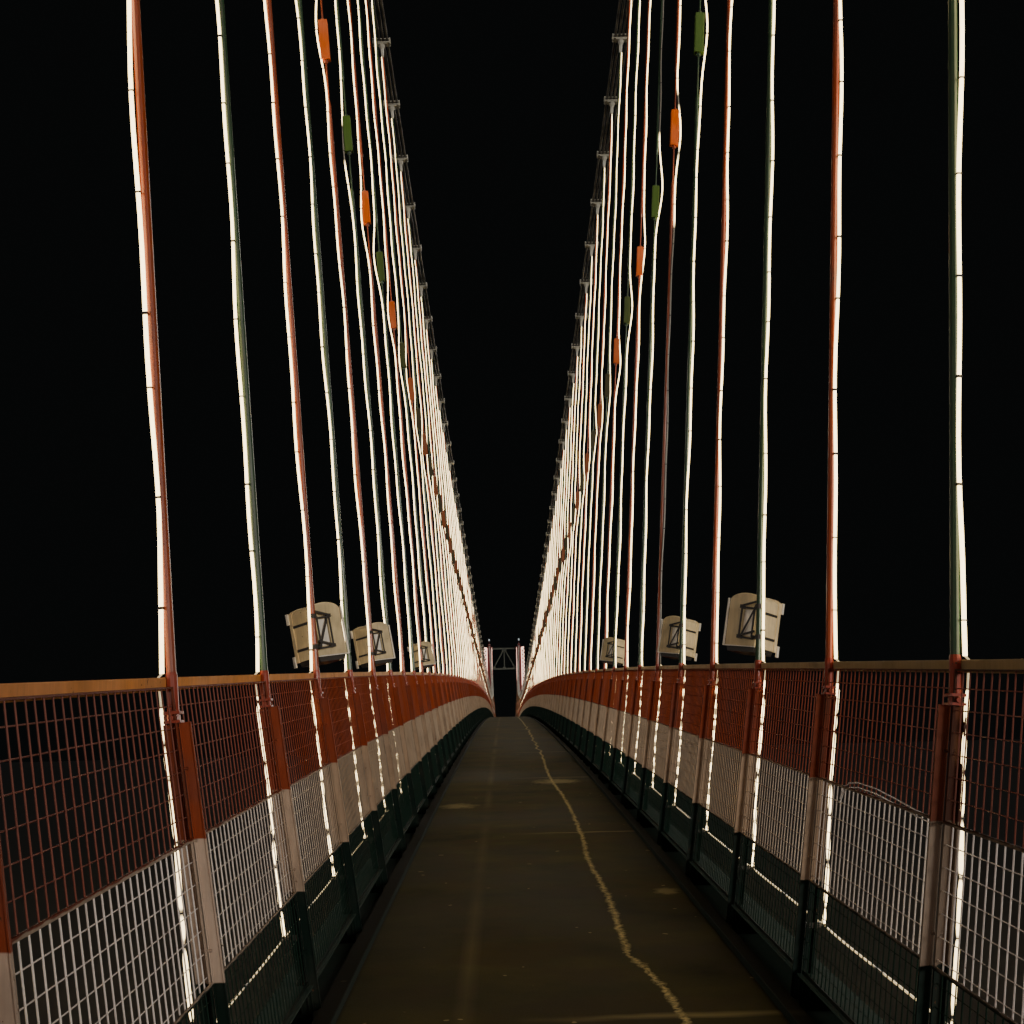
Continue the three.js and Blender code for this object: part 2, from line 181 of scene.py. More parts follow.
def bars(paths, section, hint=(1.0, 0.0, 0.0), size=1.0):
    """Bars of one section along many paths at once.

    A point is the path's point, plus the section's first number times the
    hint made square to the path, plus its second times the direction square
    to both. paths is bars x points x 3. size scales the section point by
    point. The map runs along the bar in metres and once round it."""
    paths = np.asarray(paths, float)
    along = unit(np.gradient(paths, axis=1))
    hint = np.broadcast_to(np.asarray(hint, float), paths.shape)
    across = unit(hint - (hint * along).sum(-1, keepdims=True) * along)
    upward = np.cross(along, across)
    scale = np.broadcast_to(np.asarray(size, float), paths.shape[:2])[:, :, None, None]
    offset = section[None, None] * scale
    ring = (paths[:, :, None] + offset[..., :1] * across[:, :, None]
            + offset[..., 1:] * upward[:, :, None])
    many, long, sides = ring.shape[:3]
    index = np.arange(many * long * sides).reshape(many, long, sides)
    following = np.roll(index, -1, axis=2)
    walls = np.stack([index[:, :-1], following[:, :-1], following[:, 1:], index[:, 1:]], -1)
    steps = np.linalg.norm(np.diff(paths, axis=1), axis=-1)
    run = np.concatenate([np.zeros((many, 1)), np.cumsum(steps, axis=1)], axis=1)
    u = np.broadcast_to(run[:, :, None], index.shape)
    v = np.broadcast_to(np.arange(sides) / sides, index.shape)
    wall_map = np.stack([
        np.stack([u[:, :-1], u[:, :-1], u[:, 1:], u[:, 1:]], -1),
        np.stack([v[:, :-1], v[:, :-1] + 1 / sides, v[:, 1:] + 1 / sides, v[:, 1:]], -1)], -1)
    lids = np.concatenate([index[:, 0, ::-1], index[:, -1]])
    lid_map = np.zeros(lids.shape + (2,))
    return {"points": ring.reshape(-1, 3),
            "faces": [walls.reshape(-1, 4), lids],
            "maps": [wall_map.reshape(-1, 4, 2), lid_map]}


CUBE = np.array([[-1, -1, -1], [1, -1, -1], [1, 1, -1], [-1, 1, -1],
                 [-1, -1, 1], [1, -1, 1], [1, 1, 1], [-1, 1, 1]]) / 2
CUBE_FACES = np.array([[0, 3, 2, 1], [4, 5, 6, 7], [0, 1, 5, 4],
                       [1, 2, 6, 5], [2, 3, 7, 6], [3, 0, 4, 7]])
CUBE_MAP = np.array([[0, 0], [1, 0], [1, 1], [0, 1]], float)


def blocks(centres, sizes, axes=None):
    """Boxes: each corner is the centre plus half of each size along each of
    three axes. axes is one 3 x 3 array of rows, or one for each box."""
    centres = np.atleast_2d(centres).astype(float)
    sizes = np.broadcast_to(np.asarray(sizes, float), centres.shape)
    axes = np.eye(3) if axes is None else np.asarray(axes, float)
    axes = np.broadcast_to(axes, centres.shape[:1] + (3, 3))
    corners = centres[:, None] + np.einsum("cj,nj,njk->nck", CUBE, sizes, axes)
    faces = CUBE_FACES[None] + 8 * np.arange(len(centres))[:, None, None]
    maps = np.broadcast_to(CUBE_MAP, (6 * len(centres), 4, 2))
    return {"points": corners.reshape(-1, 3), "faces": [faces.reshape(-1, 4)], "maps": [maps]}


def lathe(centre, profile, sides=24, axes=None):
    """A turned body: each point of the profile, a radius and a height, goes
    once round the third axis. The first and last radius should be small."""
    centre = np.asarray(centre, float)
    axes = np.eye(3) if axes is None else np.asarray(axes, float)
    profile = np.asarray(profile, float)
    path = centre + profile[:, 1:] * axes[2]
    return bars_with_frame(path, axes[0], axes[1], circle(sides), profile[:, 0])


def bars_with_frame(path, across, upward, section, size):
    """One bar whose two section directions are given and stay the same, for
    paths that double back on themselves."""
    ring = (path[:, None] + section[None, :, :1] * size[:, None, None] * across
            + section[None, :, 1:] * size[:, None, None] * upward)
    long, sides = ring.shape[:2]
    index = np.arange(long * sides).reshape(long, sides)
    following = np.roll(index, -1, axis=1)
    walls = np.stack([index[:-1], following[:-1], following[1:], index[1:]], -1)
    lids = np.stack([index[0, ::-1], index[-1]])
    wall_map = np.zeros((walls.size // 4, 4, 2))
    return {"points": ring.reshape(-1, 3), "faces": [walls.reshape(-1, 4), lids],
            "maps": [wall_map, np.zeros(lids.shape + (2,))]}


def outward(part):
    """Turns all faces round if they enclose a negative volume. The volume is
    the sum, over every face split in triangles, of the product of its corners
    over six."""
    points, total = part["points"], 0.0
    for face in part["faces"]:
        for k in range(1, face.shape[1] - 1):
            a, b, c = points[face[:, 0]], points[face[:, k]], points[face[:, k + 1]]
            total += np.einsum("ij,ij->", a, np.cross(b, c))
    if total < 0:
        part["faces"] = [face[:, ::-1] for face in part["faces"]]
        part["maps"] = [corner[:, ::-1] for corner in part["maps"]]
    return part


made = {}


def piece(name, parts, material, slot, *replaced, smooth=False):
    """Puts arrays of points and faces into one mesh in metres of the model."""
    parts = [outward(part) for part in (parts if isinstance(parts, list) else [parts])]
    starts = np.cumsum([0] + [len(part["points"]) for part in parts])
    points = np.concatenate([part["points"] for part in parts]) * MODEL
    faces = [face + start for part, start in zip(parts, starts) for face in part["faces"]]
    maps = [corner for part in parts for corner in part["maps"]]
    counts = np.concatenate([np.full(len(face), face.shape[1]) for face in faces])
    mesh = bpy.data.meshes.new(name)
    mesh.vertices.add(len(points))
    mesh.vertices.foreach_set("co", points.astype(np.float32).ravel())
    mesh.loops.add(int(counts.sum()))
    mesh.loops.foreach_set("vertex_index", np.concatenate([f.ravel() for f in faces]).astype(np.int32))
    mesh.polygons.add(len(counts))
    mesh.polygons.foreach_set("loop_start", (np.cumsum(counts) - counts).astype(np.int32))
    mesh.update(calc_edges=True)
    layer = mesh.uv_layers.new(name="UVMap")
    layer.data.foreach_set("uv", np.concatenate([m.reshape(-1, 2) for m in maps]).astype(np.float32).ravel())
    mesh.polygons.foreach_set("use_smooth", np.full(len(counts), smooth))
    if mesh.validate():
        print("mended mesh", name)
    mesh.materials.append(material)
    made_object = bpy.data.objects.new(name, mesh)
    bpy.context.scene.collection.objects.link(made_object)
    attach(made_object, "root")
    if replaced:
        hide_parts(*replaced)
    made[name] = int((counts - 2).sum())
    print(f"{name}: {made[name]} triangles")
    return made_object


LENGTHS = ("near", "middle", "far")


def in_lengths(node):
    """The names of one node's three lengths along the bridge."""
    return [f"{node}_{length}" for length in LENGTHS]


# %% [markdown]
# ## Finishes
#
# Painted steel out of doors is never one colour. The brush leaves faint
# streaks, rain carries dirt down, and the paint chips where things knock it.
# The streaks, the dirt and the chips are the same on every painted piece, so
# they are a group of nodes with named inputs, used by each paint with its own
# values. It reads Object coordinates, so the pattern stays on the piece.

# %% Helpers for node trees
def node(tree, kind, links=None, **settings):
    """Adds a node. links gives its inputs, by name or number, as another
    node's output or as a plain value."""
    added = tree.nodes.new(kind)
    for key, value in settings.items():
        setattr(added, key, value)
    for key, value in (links or {}).items():
        if isinstance(value, bpy.types.NodeSocket):
            tree.links.new(value, added.inputs[key])
        else:
            added.inputs[key].default_value = value
    return added


def ramp(tree, factor, low, high):
    """0 below low, 1 above high, and an even slope between them."""
    return node(tree, "ShaderNodeMapRange", {"Value": factor, "From Min": low, "From Max": high}).outputs[0]


def blend(tree, factor, first, second):
    """Goes from the first colour to the second as the factor goes from 0 to 1."""
    mixed = node(tree, "ShaderNodeMix", {0: factor, 6: first, 7: second}, data_type="RGBA")
    return mixed.outputs[2]


def math_node(tree, operation, first, second=0.0, third=0.0):
    """One sum on numbers."""
    added = node(tree, "ShaderNodeMath", {0: first, 1: second, 2: third}, operation=operation)
    return added.outputs[0]


def noise(tree, vector, scale, detail=4.0, roughness=0.55, distortion=0.0):
    """Soft random numbers from 0 to 1 that change over the given scale."""
    added = node(tree, "ShaderNodeTexNoise", {
        "Vector": vector, "Scale": scale, "Detail": detail, "Roughness": roughness,
        "Distortion": distortion})
    return added.outputs[0]


def stretched(tree, vector, scale):
    """Coordinates multiplied by three numbers, which stretches a pattern."""
    added = node(tree, "ShaderNodeMapping", {"Vector": vector, "Scale": scale})
    return added.outputs[0]


def new_group(name, inputs, outputs):
    """An empty node group with its sockets, and its input and output nodes."""
    tree = bpy.data.node_groups.new(name, "ShaderNodeTree")
    for label, kind, value in inputs:
        socket = tree.interface.new_socket(label, in_out="INPUT", socket_type=kind)
        if value is not None:
            socket.default_value = value
    for label, kind in outputs:
        tree.interface.new_socket(label, in_out="OUTPUT", socket_type=kind)
    return tree, tree.nodes.new("NodeGroupInput"), tree.nodes.new("NodeGroupOutput")


def rgb(red, green, blue):
    """A colour with full opacity."""
    return (red, green, blue, 1.0)


# %% [markdown]
# The first group works out real metres from the model's own coordinates, and
# the height above the arched walkway, which is what the painted bands follow.

# %% Group: places on the bridge
places, _, places_out = new_group(
    "places_on_bridge",
    [],
    [("Metres", "NodeSocketVector"), ("Height", "NodeSocketFloat"), ("Across", "NodeSocketFloat")])
coordinates = places.nodes.new("ShaderNodeTexCoord").outputs["Object"]
metres = node(places, "ShaderNodeVectorMath", {0: coordinates, 1: (1 / MODEL,) * 3}, operation="MULTIPLY")
split = node(places, "ShaderNodeSeparateXYZ", {0: metres.outputs[0]})
square = math_node(places, "MULTIPLY", split.outputs["Y"], split.outputs["Y"])
drop = math_node(places, "MULTIPLY_ADD", square, CAMBER / HALF_SPAN ** 2, -DECK_END - CAMBER)
height_above = math_node(places, "ADD", split.outputs["Z"], drop)
places.links.new(metres.outputs[0], places_out.inputs["Metres"])
places.links.new(height_above, places_out.inputs["Height"])
places.links.new(math_node(places, "ABSOLUTE", split.outputs["X"]), places_out.inputs["Across"])

# %% Group: brushed enamel with dirt and chips
enamel, enamel_in, enamel_out = new_group(
    "brushed_enamel",
    [("Colour", "NodeSocketColor", rgb(0.5, 0.5, 0.5)), ("Under", "NodeSocketColor", rgb(0.1, 0.05, 0.03)),
     ("Metres", "NodeSocketVector", None), ("Chips", "NodeSocketFloat", 0.5),
     ("Dirt", "NodeSocketFloat", 0.3), ("Shine", "NodeSocketFloat", 0.35)],
    [("Colour", "NodeSocketColor"), ("Roughness", "NodeSocketFloat"), ("Normal", "NodeSocketVector")])
spot = enamel_in.outputs["Metres"]
cloud = noise(enamel, spot, 1.7, 5.0)
streak = noise(enamel, stretched(enamel, spot, (55.0, 55.0, 3.0)), 1.0, 3.0)
speck = noise(enamel, spot, 38.0, 3.0, 0.6)
patch = noise(enamel, spot, 5.5, 4.0)
faded = node(enamel, "ShaderNodeHueSaturation", {
    "Saturation": math_node(enamel, "MULTIPLY_ADD", cloud, -0.35, 1.14),
    "Value": math_node(enamel, "MULTIPLY_ADD", streak, 0.5, 0.76),
    "Color": enamel_in.outputs["Colour"]}).outputs[0]
grime = math_node(enamel, "MULTIPLY", ramp(enamel, patch, 0.45, 0.72), enamel_in.outputs["Dirt"])
dirty = blend(enamel, grime, faded, rgb(0.055, 0.047, 0.036))
edge_low = math_node(enamel, "MULTIPLY_ADD", enamel_in.outputs["Chips"], -0.16, 0.79)
edge_high = math_node(enamel, "ADD", edge_low, 0.02)
mixed_speck = math_node(enamel, "MULTIPLY_ADD", patch, 0.35, math_node(enamel, "MULTIPLY", speck, 0.75))
bare = ramp(enamel, mixed_speck, edge_low, edge_high)
chipped = blend(enamel, bare, dirty, enamel_in.outputs["Under"])
gloss = math_node(enamel, "MULTIPLY_ADD", streak, 0.22, enamel_in.outputs["Shine"])
gloss = math_node(enamel, "MULTIPLY_ADD", grime, 0.3, gloss)
gloss = math_node(enamel, "MULTIPLY_ADD", bare, 0.35, gloss)
relief = math_node(enamel, "MULTIPLY_ADD", bare, -0.6, streak)
bumped = node(enamel, "ShaderNodeBump", {"Strength": 0.25, "Distance": 0.0004, "Height": relief})
enamel.links.new(chipped, enamel_out.inputs["Colour"])
enamel.links.new(gloss, enamel_out.inputs["Roughness"])
enamel.links.new(bumped.outputs[0], enamel_out.inputs["Normal"])


# %% Paints
def new_material(name, metallic=0.0, coat=0.0, specular=0.5):
    """A material with a principled shader, its tree and that shader."""
    material = bpy.data.materials.new(name)
    material.use_nodes = True
    tree = material.node_tree
    shader = tree.nodes["Principled BSDF"]
    shader.inputs["Metallic"].default_value = metallic
    shader.inputs["Coat Weight"].default_value = coat
    shader.inputs["Specular IOR Level"].default_value = specular
    return material, tree, shader


def use_group(tree, group, links=None):
    """Places a node group in a material."""
    added = node(tree, "ShaderNodeGroup", None, node_tree=group)
    for key, value in (links or {}).items():
        if isinstance(value, bpy.types.NodeSocket):
            tree.links.new(value, added.inputs[key])
        else:
            added.inputs[key].default_value = value
    return added


def finish_shader(tree, shader, group):
    """Feeds a group's colour, roughness and normal to the shader."""
    tree.links.new(group.outputs["Colour"], shader.inputs["Base Color"])
    tree.links.new(group.outputs["Roughness"], shader.inputs["Roughness"])
    tree.links.new(group.outputs["Normal"], shader.inputs["Normal"])


def share_along(tree, where, start, stop):
    """0 up to one place along the bridge, 1 beyond the other."""
    return ramp(tree, node(tree, "ShaderNodeSeparateXYZ", {0: where.outputs["Metres"]}).outputs["Y"], start, stop)


def enamel_paint(name, colour, under=(0.09, 0.045, 0.025), chips=0.5, dirt=0.35, shine=0.3, coat=0.15, specular=0.5,
                 beyond=None, reach=(-117.0, -106.0)):
    """Brushed enamel in one colour. With a second colour it turns into that
    one further along the bridge. That change is painted light and shade: the rails grow lighter in the strips' light,
    the box nuts darker away from the eye."""
    material, tree, shader = new_material(name, 0.0, coat, specular)
    where = use_group(tree, places)
    tint = rgb(*colour)
    # beyond is a painted tone further along the bridge: painted light on the rails, painted shade on the box nuts.
    if beyond:
        tint = blend(tree, share_along(tree, where, *reach), tint, rgb(*beyond))
    paint = use_group(tree, enamel, {
        "Colour": tint, "Under": rgb(*under), "Metres": where.outputs["Metres"],
        "Chips": chips, "Dirt": dirt, "Shine": shine})
    finish_shader(tree, shader, paint)
    return material


SAFFRON = (0.28, 0.042, 0.004)
GREEN = (0.022, 0.06, 0.026)
GREEN_DEEP = (0.006, 0.026, 0.017)
GREEN_POST = (0.003, 0.014, 0.01)
WHITE = (0.86, 0.8, 0.75)

saffron_paint = enamel_paint("saffron_enamel", SAFFRON, chips=0.35, dirt=0.3)
green_paint = enamel_paint("green_enamel", GREEN, chips=0.35, dirt=0.25)
# The box nuts turn from vivid to dull further along the bridge: painted shade.
box_saffron = enamel_paint("saffron_box_enamel", (1.0, 0.17, 0.003), chips=0.25, dirt=0.05, shine=0.5, coat=0.0,
                           specular=0.2, beyond=(0.3, 0.085, 0.028), reach=(-106.0, -97.0))
box_green = enamel_paint("green_box_enamel", (0.1, 0.19, 0.03), chips=0.25, dirt=0.1, shine=0.5, coat=0.0,
                         specular=0.2, beyond=(0.07, 0.06, 0.03), reach=(-108.0, -99.0))
# The right rail is painted darker than the left, painted shade, and both grow lighter further along the bridge, painted
# light of the strips.
rail_paint = {"left": enamel_paint("left_rail_enamel_painted_light", (0.66, 0.25, 0.045), chips=0.5, dirt=0.3, shine=0.65, coat=0.0,
                                   specular=0.12, beyond=(0.85, 0.5, 0.26)),
              "right": enamel_paint("right_rail_enamel_painted_shade_and_light", (0.34, 0.23, 0.11), chips=0.5, dirt=0.3, shine=0.65, coat=0.0,
                                    specular=0.12, beyond=(0.85, 0.6, 0.36))}
sleeve_paint = enamel_paint("sleeve_enamel", (0.3, 0.04, 0.018), chips=0.35, dirt=0.25, specular=0.25)
tower_paint = enamel_paint("maroon_enamel", (0.15, 0.016, 0.02), chips=0.4, dirt=0.3, specular=0.3)
truss_paint = enamel_paint("grey_green_enamel", (0.09, 0.1, 0.085), chips=0.4, dirt=0.4)
floor_paint = enamel_paint("floor_steel_enamel", (0.009, 0.022, 0.015), chips=0.3, dirt=0.2, shine=0.8,
                           coat=0.0, specular=0.2)
cream_paint = enamel_paint("cream_sheet_enamel", (0.86, 0.69, 0.39), chips=0.35, dirt=0.25, shine=0.5)
olive_paint = enamel_paint("olive_sheet_enamel", (0.7, 0.56, 0.31), chips=0.4, dirt=0.35, shine=0.5)
pale_paint = enamel_paint("pale_sheet_enamel", (0.92, 0.86, 0.73), chips=0.3, dirt=0.25, shine=0.45)
fitting_paint = enamel_paint("dark_fittings", (0.035, 0.03, 0.026), chips=0.3, dirt=0.2, shine=0.42)

# %% [markdown]
# The side screens are painted in three level bands: saffron on top, white in
# the middle and dark green below. One paint can do it, because the height
# above the walkway is known. A little noise makes the borders hand-painted.

# %% The banded paint of the screens
GREEN_TO = 0.515
WHITE_TO = 0.985


def banded_paint(name, top, middle, bottom, dirt, top_painted_strip_light=(0.24, 0.04, 0.011), middle_painted_strip_light=(0.42, 0.3, 0.2)):
    """Enamel whose colour depends on the height above the walkway. After the
    first panels the two upper bands take other colours: painted light of the strips, warmer and deeper further along,
    with the near colours duller as painted shade."""
    material, tree, shader = new_material(name, 0.0, 0.0, 0.15)
    where = use_group(tree, places)
    wander = noise(tree, where.outputs["Metres"], 9.0, 2.0)
    height = math_node(tree, "MULTIPLY_ADD", wander, 0.02, where.outputs["Height"])
    # Further along the bridge the upper bands change colour: painted light of the strips, with the nearer colours as
    # painted shade.
    painted_light_share = share_along(tree, where, -118.0, -114.0)
    middle = blend(tree, painted_light_share, rgb(*middle), rgb(*middle_painted_strip_light))
    top = blend(tree, painted_light_share, rgb(*top), rgb(*top_painted_strip_light))
    lower = blend(tree, ramp(tree, height, GREEN_TO + 0.009, GREEN_TO + 0.013), rgb(*bottom), middle)
    colour = blend(tree, ramp(tree, height, WHITE_TO + 0.009, WHITE_TO + 0.013), lower, top)
    paint = use_group(tree, enamel, {
        "Colour": colour, "Under": rgb(0.1, 0.055, 0.03), "Metres": where.outputs["Metres"],
        "Chips": 0.45, "Dirt": dirt, "Shine": 0.5})
    finish_shader(tree, shader, paint)
    return material


# Near the eye the wires are dull and further along warm and deep: painted shade near, painted light of the strips
# further on.
screen_paint = banded_paint("banded_enamel_wires", (0.24, 0.08, 0.058), WHITE, GREEN_DEEP, 0.25, (0.34, 0.056, 0.014),
                            (0.5, 0.37, 0.255))
sprung_paint = enamel_paint("white_wire_enamel", WHITE, chips=0.3, dirt=0.2)
# The right posts are painted darker than the left ones: painted shade, a lit and a shaded copy of one banded paint.
post_paint = {"left": banded_paint("left_banded_posts_painted_light", (0.17, 0.035, 0.014), (0.4, 0.31, 0.24), GREEN_POST, 0.4),
              "right": banded_paint("right_banded_posts_painted_shade", (0.05, 0.014, 0.006), (0.17, 0.125, 0.09), GREEN_POST, 0.4)}
inner_paint = {"left": banded_paint("left_banded_inner_posts_painted_light", (0.26, 0.05, 0.018), (0.55, 0.43, 0.34),
                                    GREEN_POST, 0.3),
               "right": banded_paint("right_banded_inner_posts_painted_shade", (0.14, 0.03, 0.01), (0.26, 0.2, 0.15), GREEN_POST, 0.3)}

# %% [markdown]
# ## Light strips, ropes and concrete
#
# The strip is a clear sleeve full of small warm lamps. It glows all over, so
# the shader gives off light itself. A few lengths are dead, and an attribute
# on the mesh tells the shader which. The ropes read the map of their own bars:
# the first number runs along and the second round, so their sum is a screw
# thread, which is just how the strands of a rope lie.

# %% Light strip
def strip_material(name, strength, further=0.0, reach=(-112.0, -60.0), dim=(0.85, 0.5, 0.16), bright=(1.0, 0.76, 0.38)):
    """A glowing sleeve, with faint beads along it and dead lengths. Away from
    the near bank the strips are newer and glow by a further amount."""
    material, tree, shader = new_material(name, 0.0, 0.3)
    lit = node(tree, "ShaderNodeAttribute", None, attribute_name="lit").outputs["Fac"]
    along = node(tree, "ShaderNodeSeparateXYZ", {0: node(tree, "ShaderNodeUVMap").outputs[0]}).outputs[0]
    bead = math_node(tree, "SINE", math_node(tree, "MULTIPLY", along, 300.0))
    bead = math_node(tree, "MULTIPLY_ADD", bead, 0.08, 0.92)
    glow = blend(tree, bead, rgb(*dim), rgb(*bright))
    glow = blend(tree, lit, rgb(0.0, 0.0, 0.0), glow)
    colour = blend(tree, lit, rgb(0.3, 0.29, 0.25), rgb(0.9, 0.82, 0.68))
    tree.links.new(colour, shader.inputs["Base Color"])
    tree.links.new(glow, shader.inputs["Emission Color"])
    where = use_group(tree, places)
    shader.inputs["Emission Strength"].default_value = strength
    if further:
        newer = share_along(tree, where, *reach)
        brighter = math_node(tree, "MULTIPLY_ADD", newer, further, strength)
        tree.links.new(brighter, shader.inputs["Emission Strength"])
    rough = noise(tree, where.outputs["Metres"], 20.0)
    tree.links.new(math_node(tree, "MULTIPLY_ADD", rough, 0.2, 0.2), shader.inputs["Roughness"])
    return material


strip_glow = strip_material("light_strip", 6.5, 5.0)
low_glow = strip_material("low_light_strip", 1.0)
screen_glow = strip_material("screen_light_strip", 5.0, 14.0, (-118.0, -106.0))
tower_glow = strip_material("tower_light_line", 2.4, dim=(0.7, 0.3, 0.22), bright=(1.0, 0.58, 0.46))


# %% Rope and steel
def rope_material():
    """Laid wire rope: a screw pattern in colour and in relief."""
    material, tree, shader = new_material("laid_wire_rope", 0.75)
    place_on = node(tree, "ShaderNodeSeparateXYZ", {0: node(tree, "ShaderNodeUVMap").outputs[0]})
    turn = math_node(tree, "MULTIPLY_ADD", place_on.outputs[0], 3.2, place_on.outputs[1])
    lay = math_node(tree, "SINE", math_node(tree, "MULTIPLY", turn, 2 * np.pi * 6))
    strand = ramp(tree, lay, -0.9, 0.4)
    where = use_group(tree, places)
    grease = ramp(tree, noise(tree, where.outputs["Metres"], 2.5, 5.0), 0.4, 0.7)
    steel = blend(tree, strand, rgb(0.04, 0.038, 0.035), rgb(0.34, 0.33, 0.31))
    tree.links.new(blend(tree, grease, steel, rgb(0.08, 0.075, 0.066)), shader.inputs["Base Color"])
    tree.links.new(math_node(tree, "MULTIPLY_ADD", grease, 0.25, 0.38), shader.inputs["Roughness"])
    bump = node(tree, "ShaderNodeBump", {"Strength": 0.8, "Distance": 0.001, "Height": strand})
    tree.links.new(bump.outputs[0], shader.inputs["Normal"])
    return material


rope_steel = rope_material()
clamp_steel = enamel_paint("clamp_grey_enamel", (0.46, 0.45, 0.38), chips=0.5, dirt=0.3, shine=0.35)


# %% Concrete of the piers and anchor blocks
def concrete_material():
    """Cast concrete: board lines at even heights, pores, and rain streaks."""
    material, tree, shader = new_material("board_marked_concrete")
    where = use_group(tree, places)
    spot = where.outputs["Metres"]
    level = node(tree, "ShaderNodeSeparateXYZ", {0: spot}).outputs["Z"]
    board = math_node(tree, "FRACT", math_node(tree, "MULTIPLY", level, 1 / 0.62))
    seam = math_node(tree, "LESS_THAN", board, 0.035)
    cloud = noise(tree, spot, 0.9, 6.0)
    streak = ramp(tree, noise(tree, stretched(tree, spot, (2.6, 2.6, 0.22)), 1.0, 5.0), 0.48, 0.75)
    pore = ramp(tree, noise(tree, spot, 26.0, 2.0), 0.66, 0.72)
    colour = blend(tree, cloud, rgb(0.3, 0.275, 0.235), rgb(0.47, 0.445, 0.39))
    colour = blend(tree, math_node(tree, "MULTIPLY", streak, 0.55), colour, rgb(0.13, 0.12, 0.1))
    colour = blend(tree, math_node(tree, "MULTIPLY", seam, 0.45), colour, rgb(0.17, 0.15, 0.125))
    colour = blend(tree, math_node(tree, "MULTIPLY", pore, 0.5), colour, rgb(0.12, 0.11, 0.1))
    tree.links.new(colour, shader.inputs["Base Color"])
    tree.links.new(math_node(tree, "MULTIPLY_ADD", cloud, 0.2, 0.72), shader.inputs["Roughness"])
    dent = math_node(tree, "ADD", math_node(tree, "MULTIPLY", seam, -0.7), math_node(tree, "MULTIPLY", pore, -0.6))
    relief = math_node(tree, "ADD", dent, math_node(tree, "MULTIPLY", cloud, 0.3))
    bump = node(tree, "ShaderNodeBump", {"Strength": 0.5, "Distance": 0.002, "Height": relief})
    tree.links.new(bump.outputs[0], shader.inputs["Normal"])
    return material


concrete = concrete_material()

# %% [markdown]
# ## The walking surface
#
# The slab carries a thin worn coat. A long crack, filled with pale dust, runs
# on the right of the middle for the whole length, and shorter cross joints
# meet it. A faint seam runs on the left of the middle. None of this has
# thickness that a foot would feel, so it belongs in the material.

# %% Material of the walkway
CRACK_OFFSET = 0.46
CRACK_FROM, CRACK_TO = -118.0, -98.0
CRACK_TURNS = [(-118.0, 0.57), (-116.2, 0.54), (-115.6, 0.51), (-115.2, 0.475), (-114.9, 0.432), (-113.6, 0.45),
               (-112.6, 0.455), (-111.3, 0.432), (-110.2, 0.462), (-109.0, 0.48), (-106.3, 0.487), (-102.8, 0.427),
               (-100.5, 0.43), (-98.0, 0.46)]
SEAM_OFFSET = 0.42
KERB_OFFSET = 0.985


def crack_offset(tree, y):
    """How far the crack lies from the middle of the walkway. Near the near
    bank it follows a curve of set turns. Further on it sways by slow noise."""
    share = math_node(tree, "MULTIPLY_ADD", y, 1 / (CRACK_TO - CRACK_FROM), -CRACK_FROM / (CRACK_TO - CRACK_FROM))
    turns = node(tree, "ShaderNodeFloatCurve", {"Value": share})
    curve = turns.mapping.curves[0]
    points = [((at - CRACK_FROM) / (CRACK_TO - CRACK_FROM), offset) for at, offset in CRACK_TURNS]
    curve.points[0].location, curve.points[1].location = points[0], points[-1]
    for point in points[1:-1]:
        curve.points.new(*point)
    turns.mapping.update()
    along = node(tree, "ShaderNodeCombineXYZ", {1: y}).outputs[0]
    sway = math_node(tree, "MULTIPLY_ADD", noise(tree, along, 0.55, 1.0), 0.24, CRACK_OFFSET - 0.12)
    beyond = ramp(tree, share, 0.97, 1.03)
    settled = math_node(tree, "MULTIPLY", turns.outputs[0], math_node(tree, "SUBTRACT", 1.0, beyond))
    return math_node(tree, "MULTIPLY_ADD", sway, beyond, settled)


SCUFFS = [(0.5, -103.2, 0.42, 0.6), (-0.77, -106.5, 0.28, 0.4), (0.87, -112.9, 0.12, 0.2)]


def scuff(tree, spot, x, y, middle_x, middle_y, reach_x, reach_y):
    """A worn oval: 1 inside, and a ragged fall to 0 at its edge. The distance
    is the length of the two offsets, each over its own reach."""
    dx = math_node(tree, "MULTIPLY_ADD", x, 1 / reach_x, -middle_x / reach_x)
    dy = math_node(tree, "MULTIPLY_ADD", y, 1 / reach_y, -middle_y / reach_y)
    far = math_node(tree, "SQRT", math_node(tree, "MULTIPLY_ADD", dx, dx, math_node(tree, "MULTIPLY", dy, dy)))
    ragged = math_node(tree, "MULTIPLY_ADD", noise(tree, spot, 9.0, 4.0, 0.7), 1.6, far)
    return math_node(tree, "SUBTRACT", 1.0, ramp(tree, ragged, 1.1, 1.7))


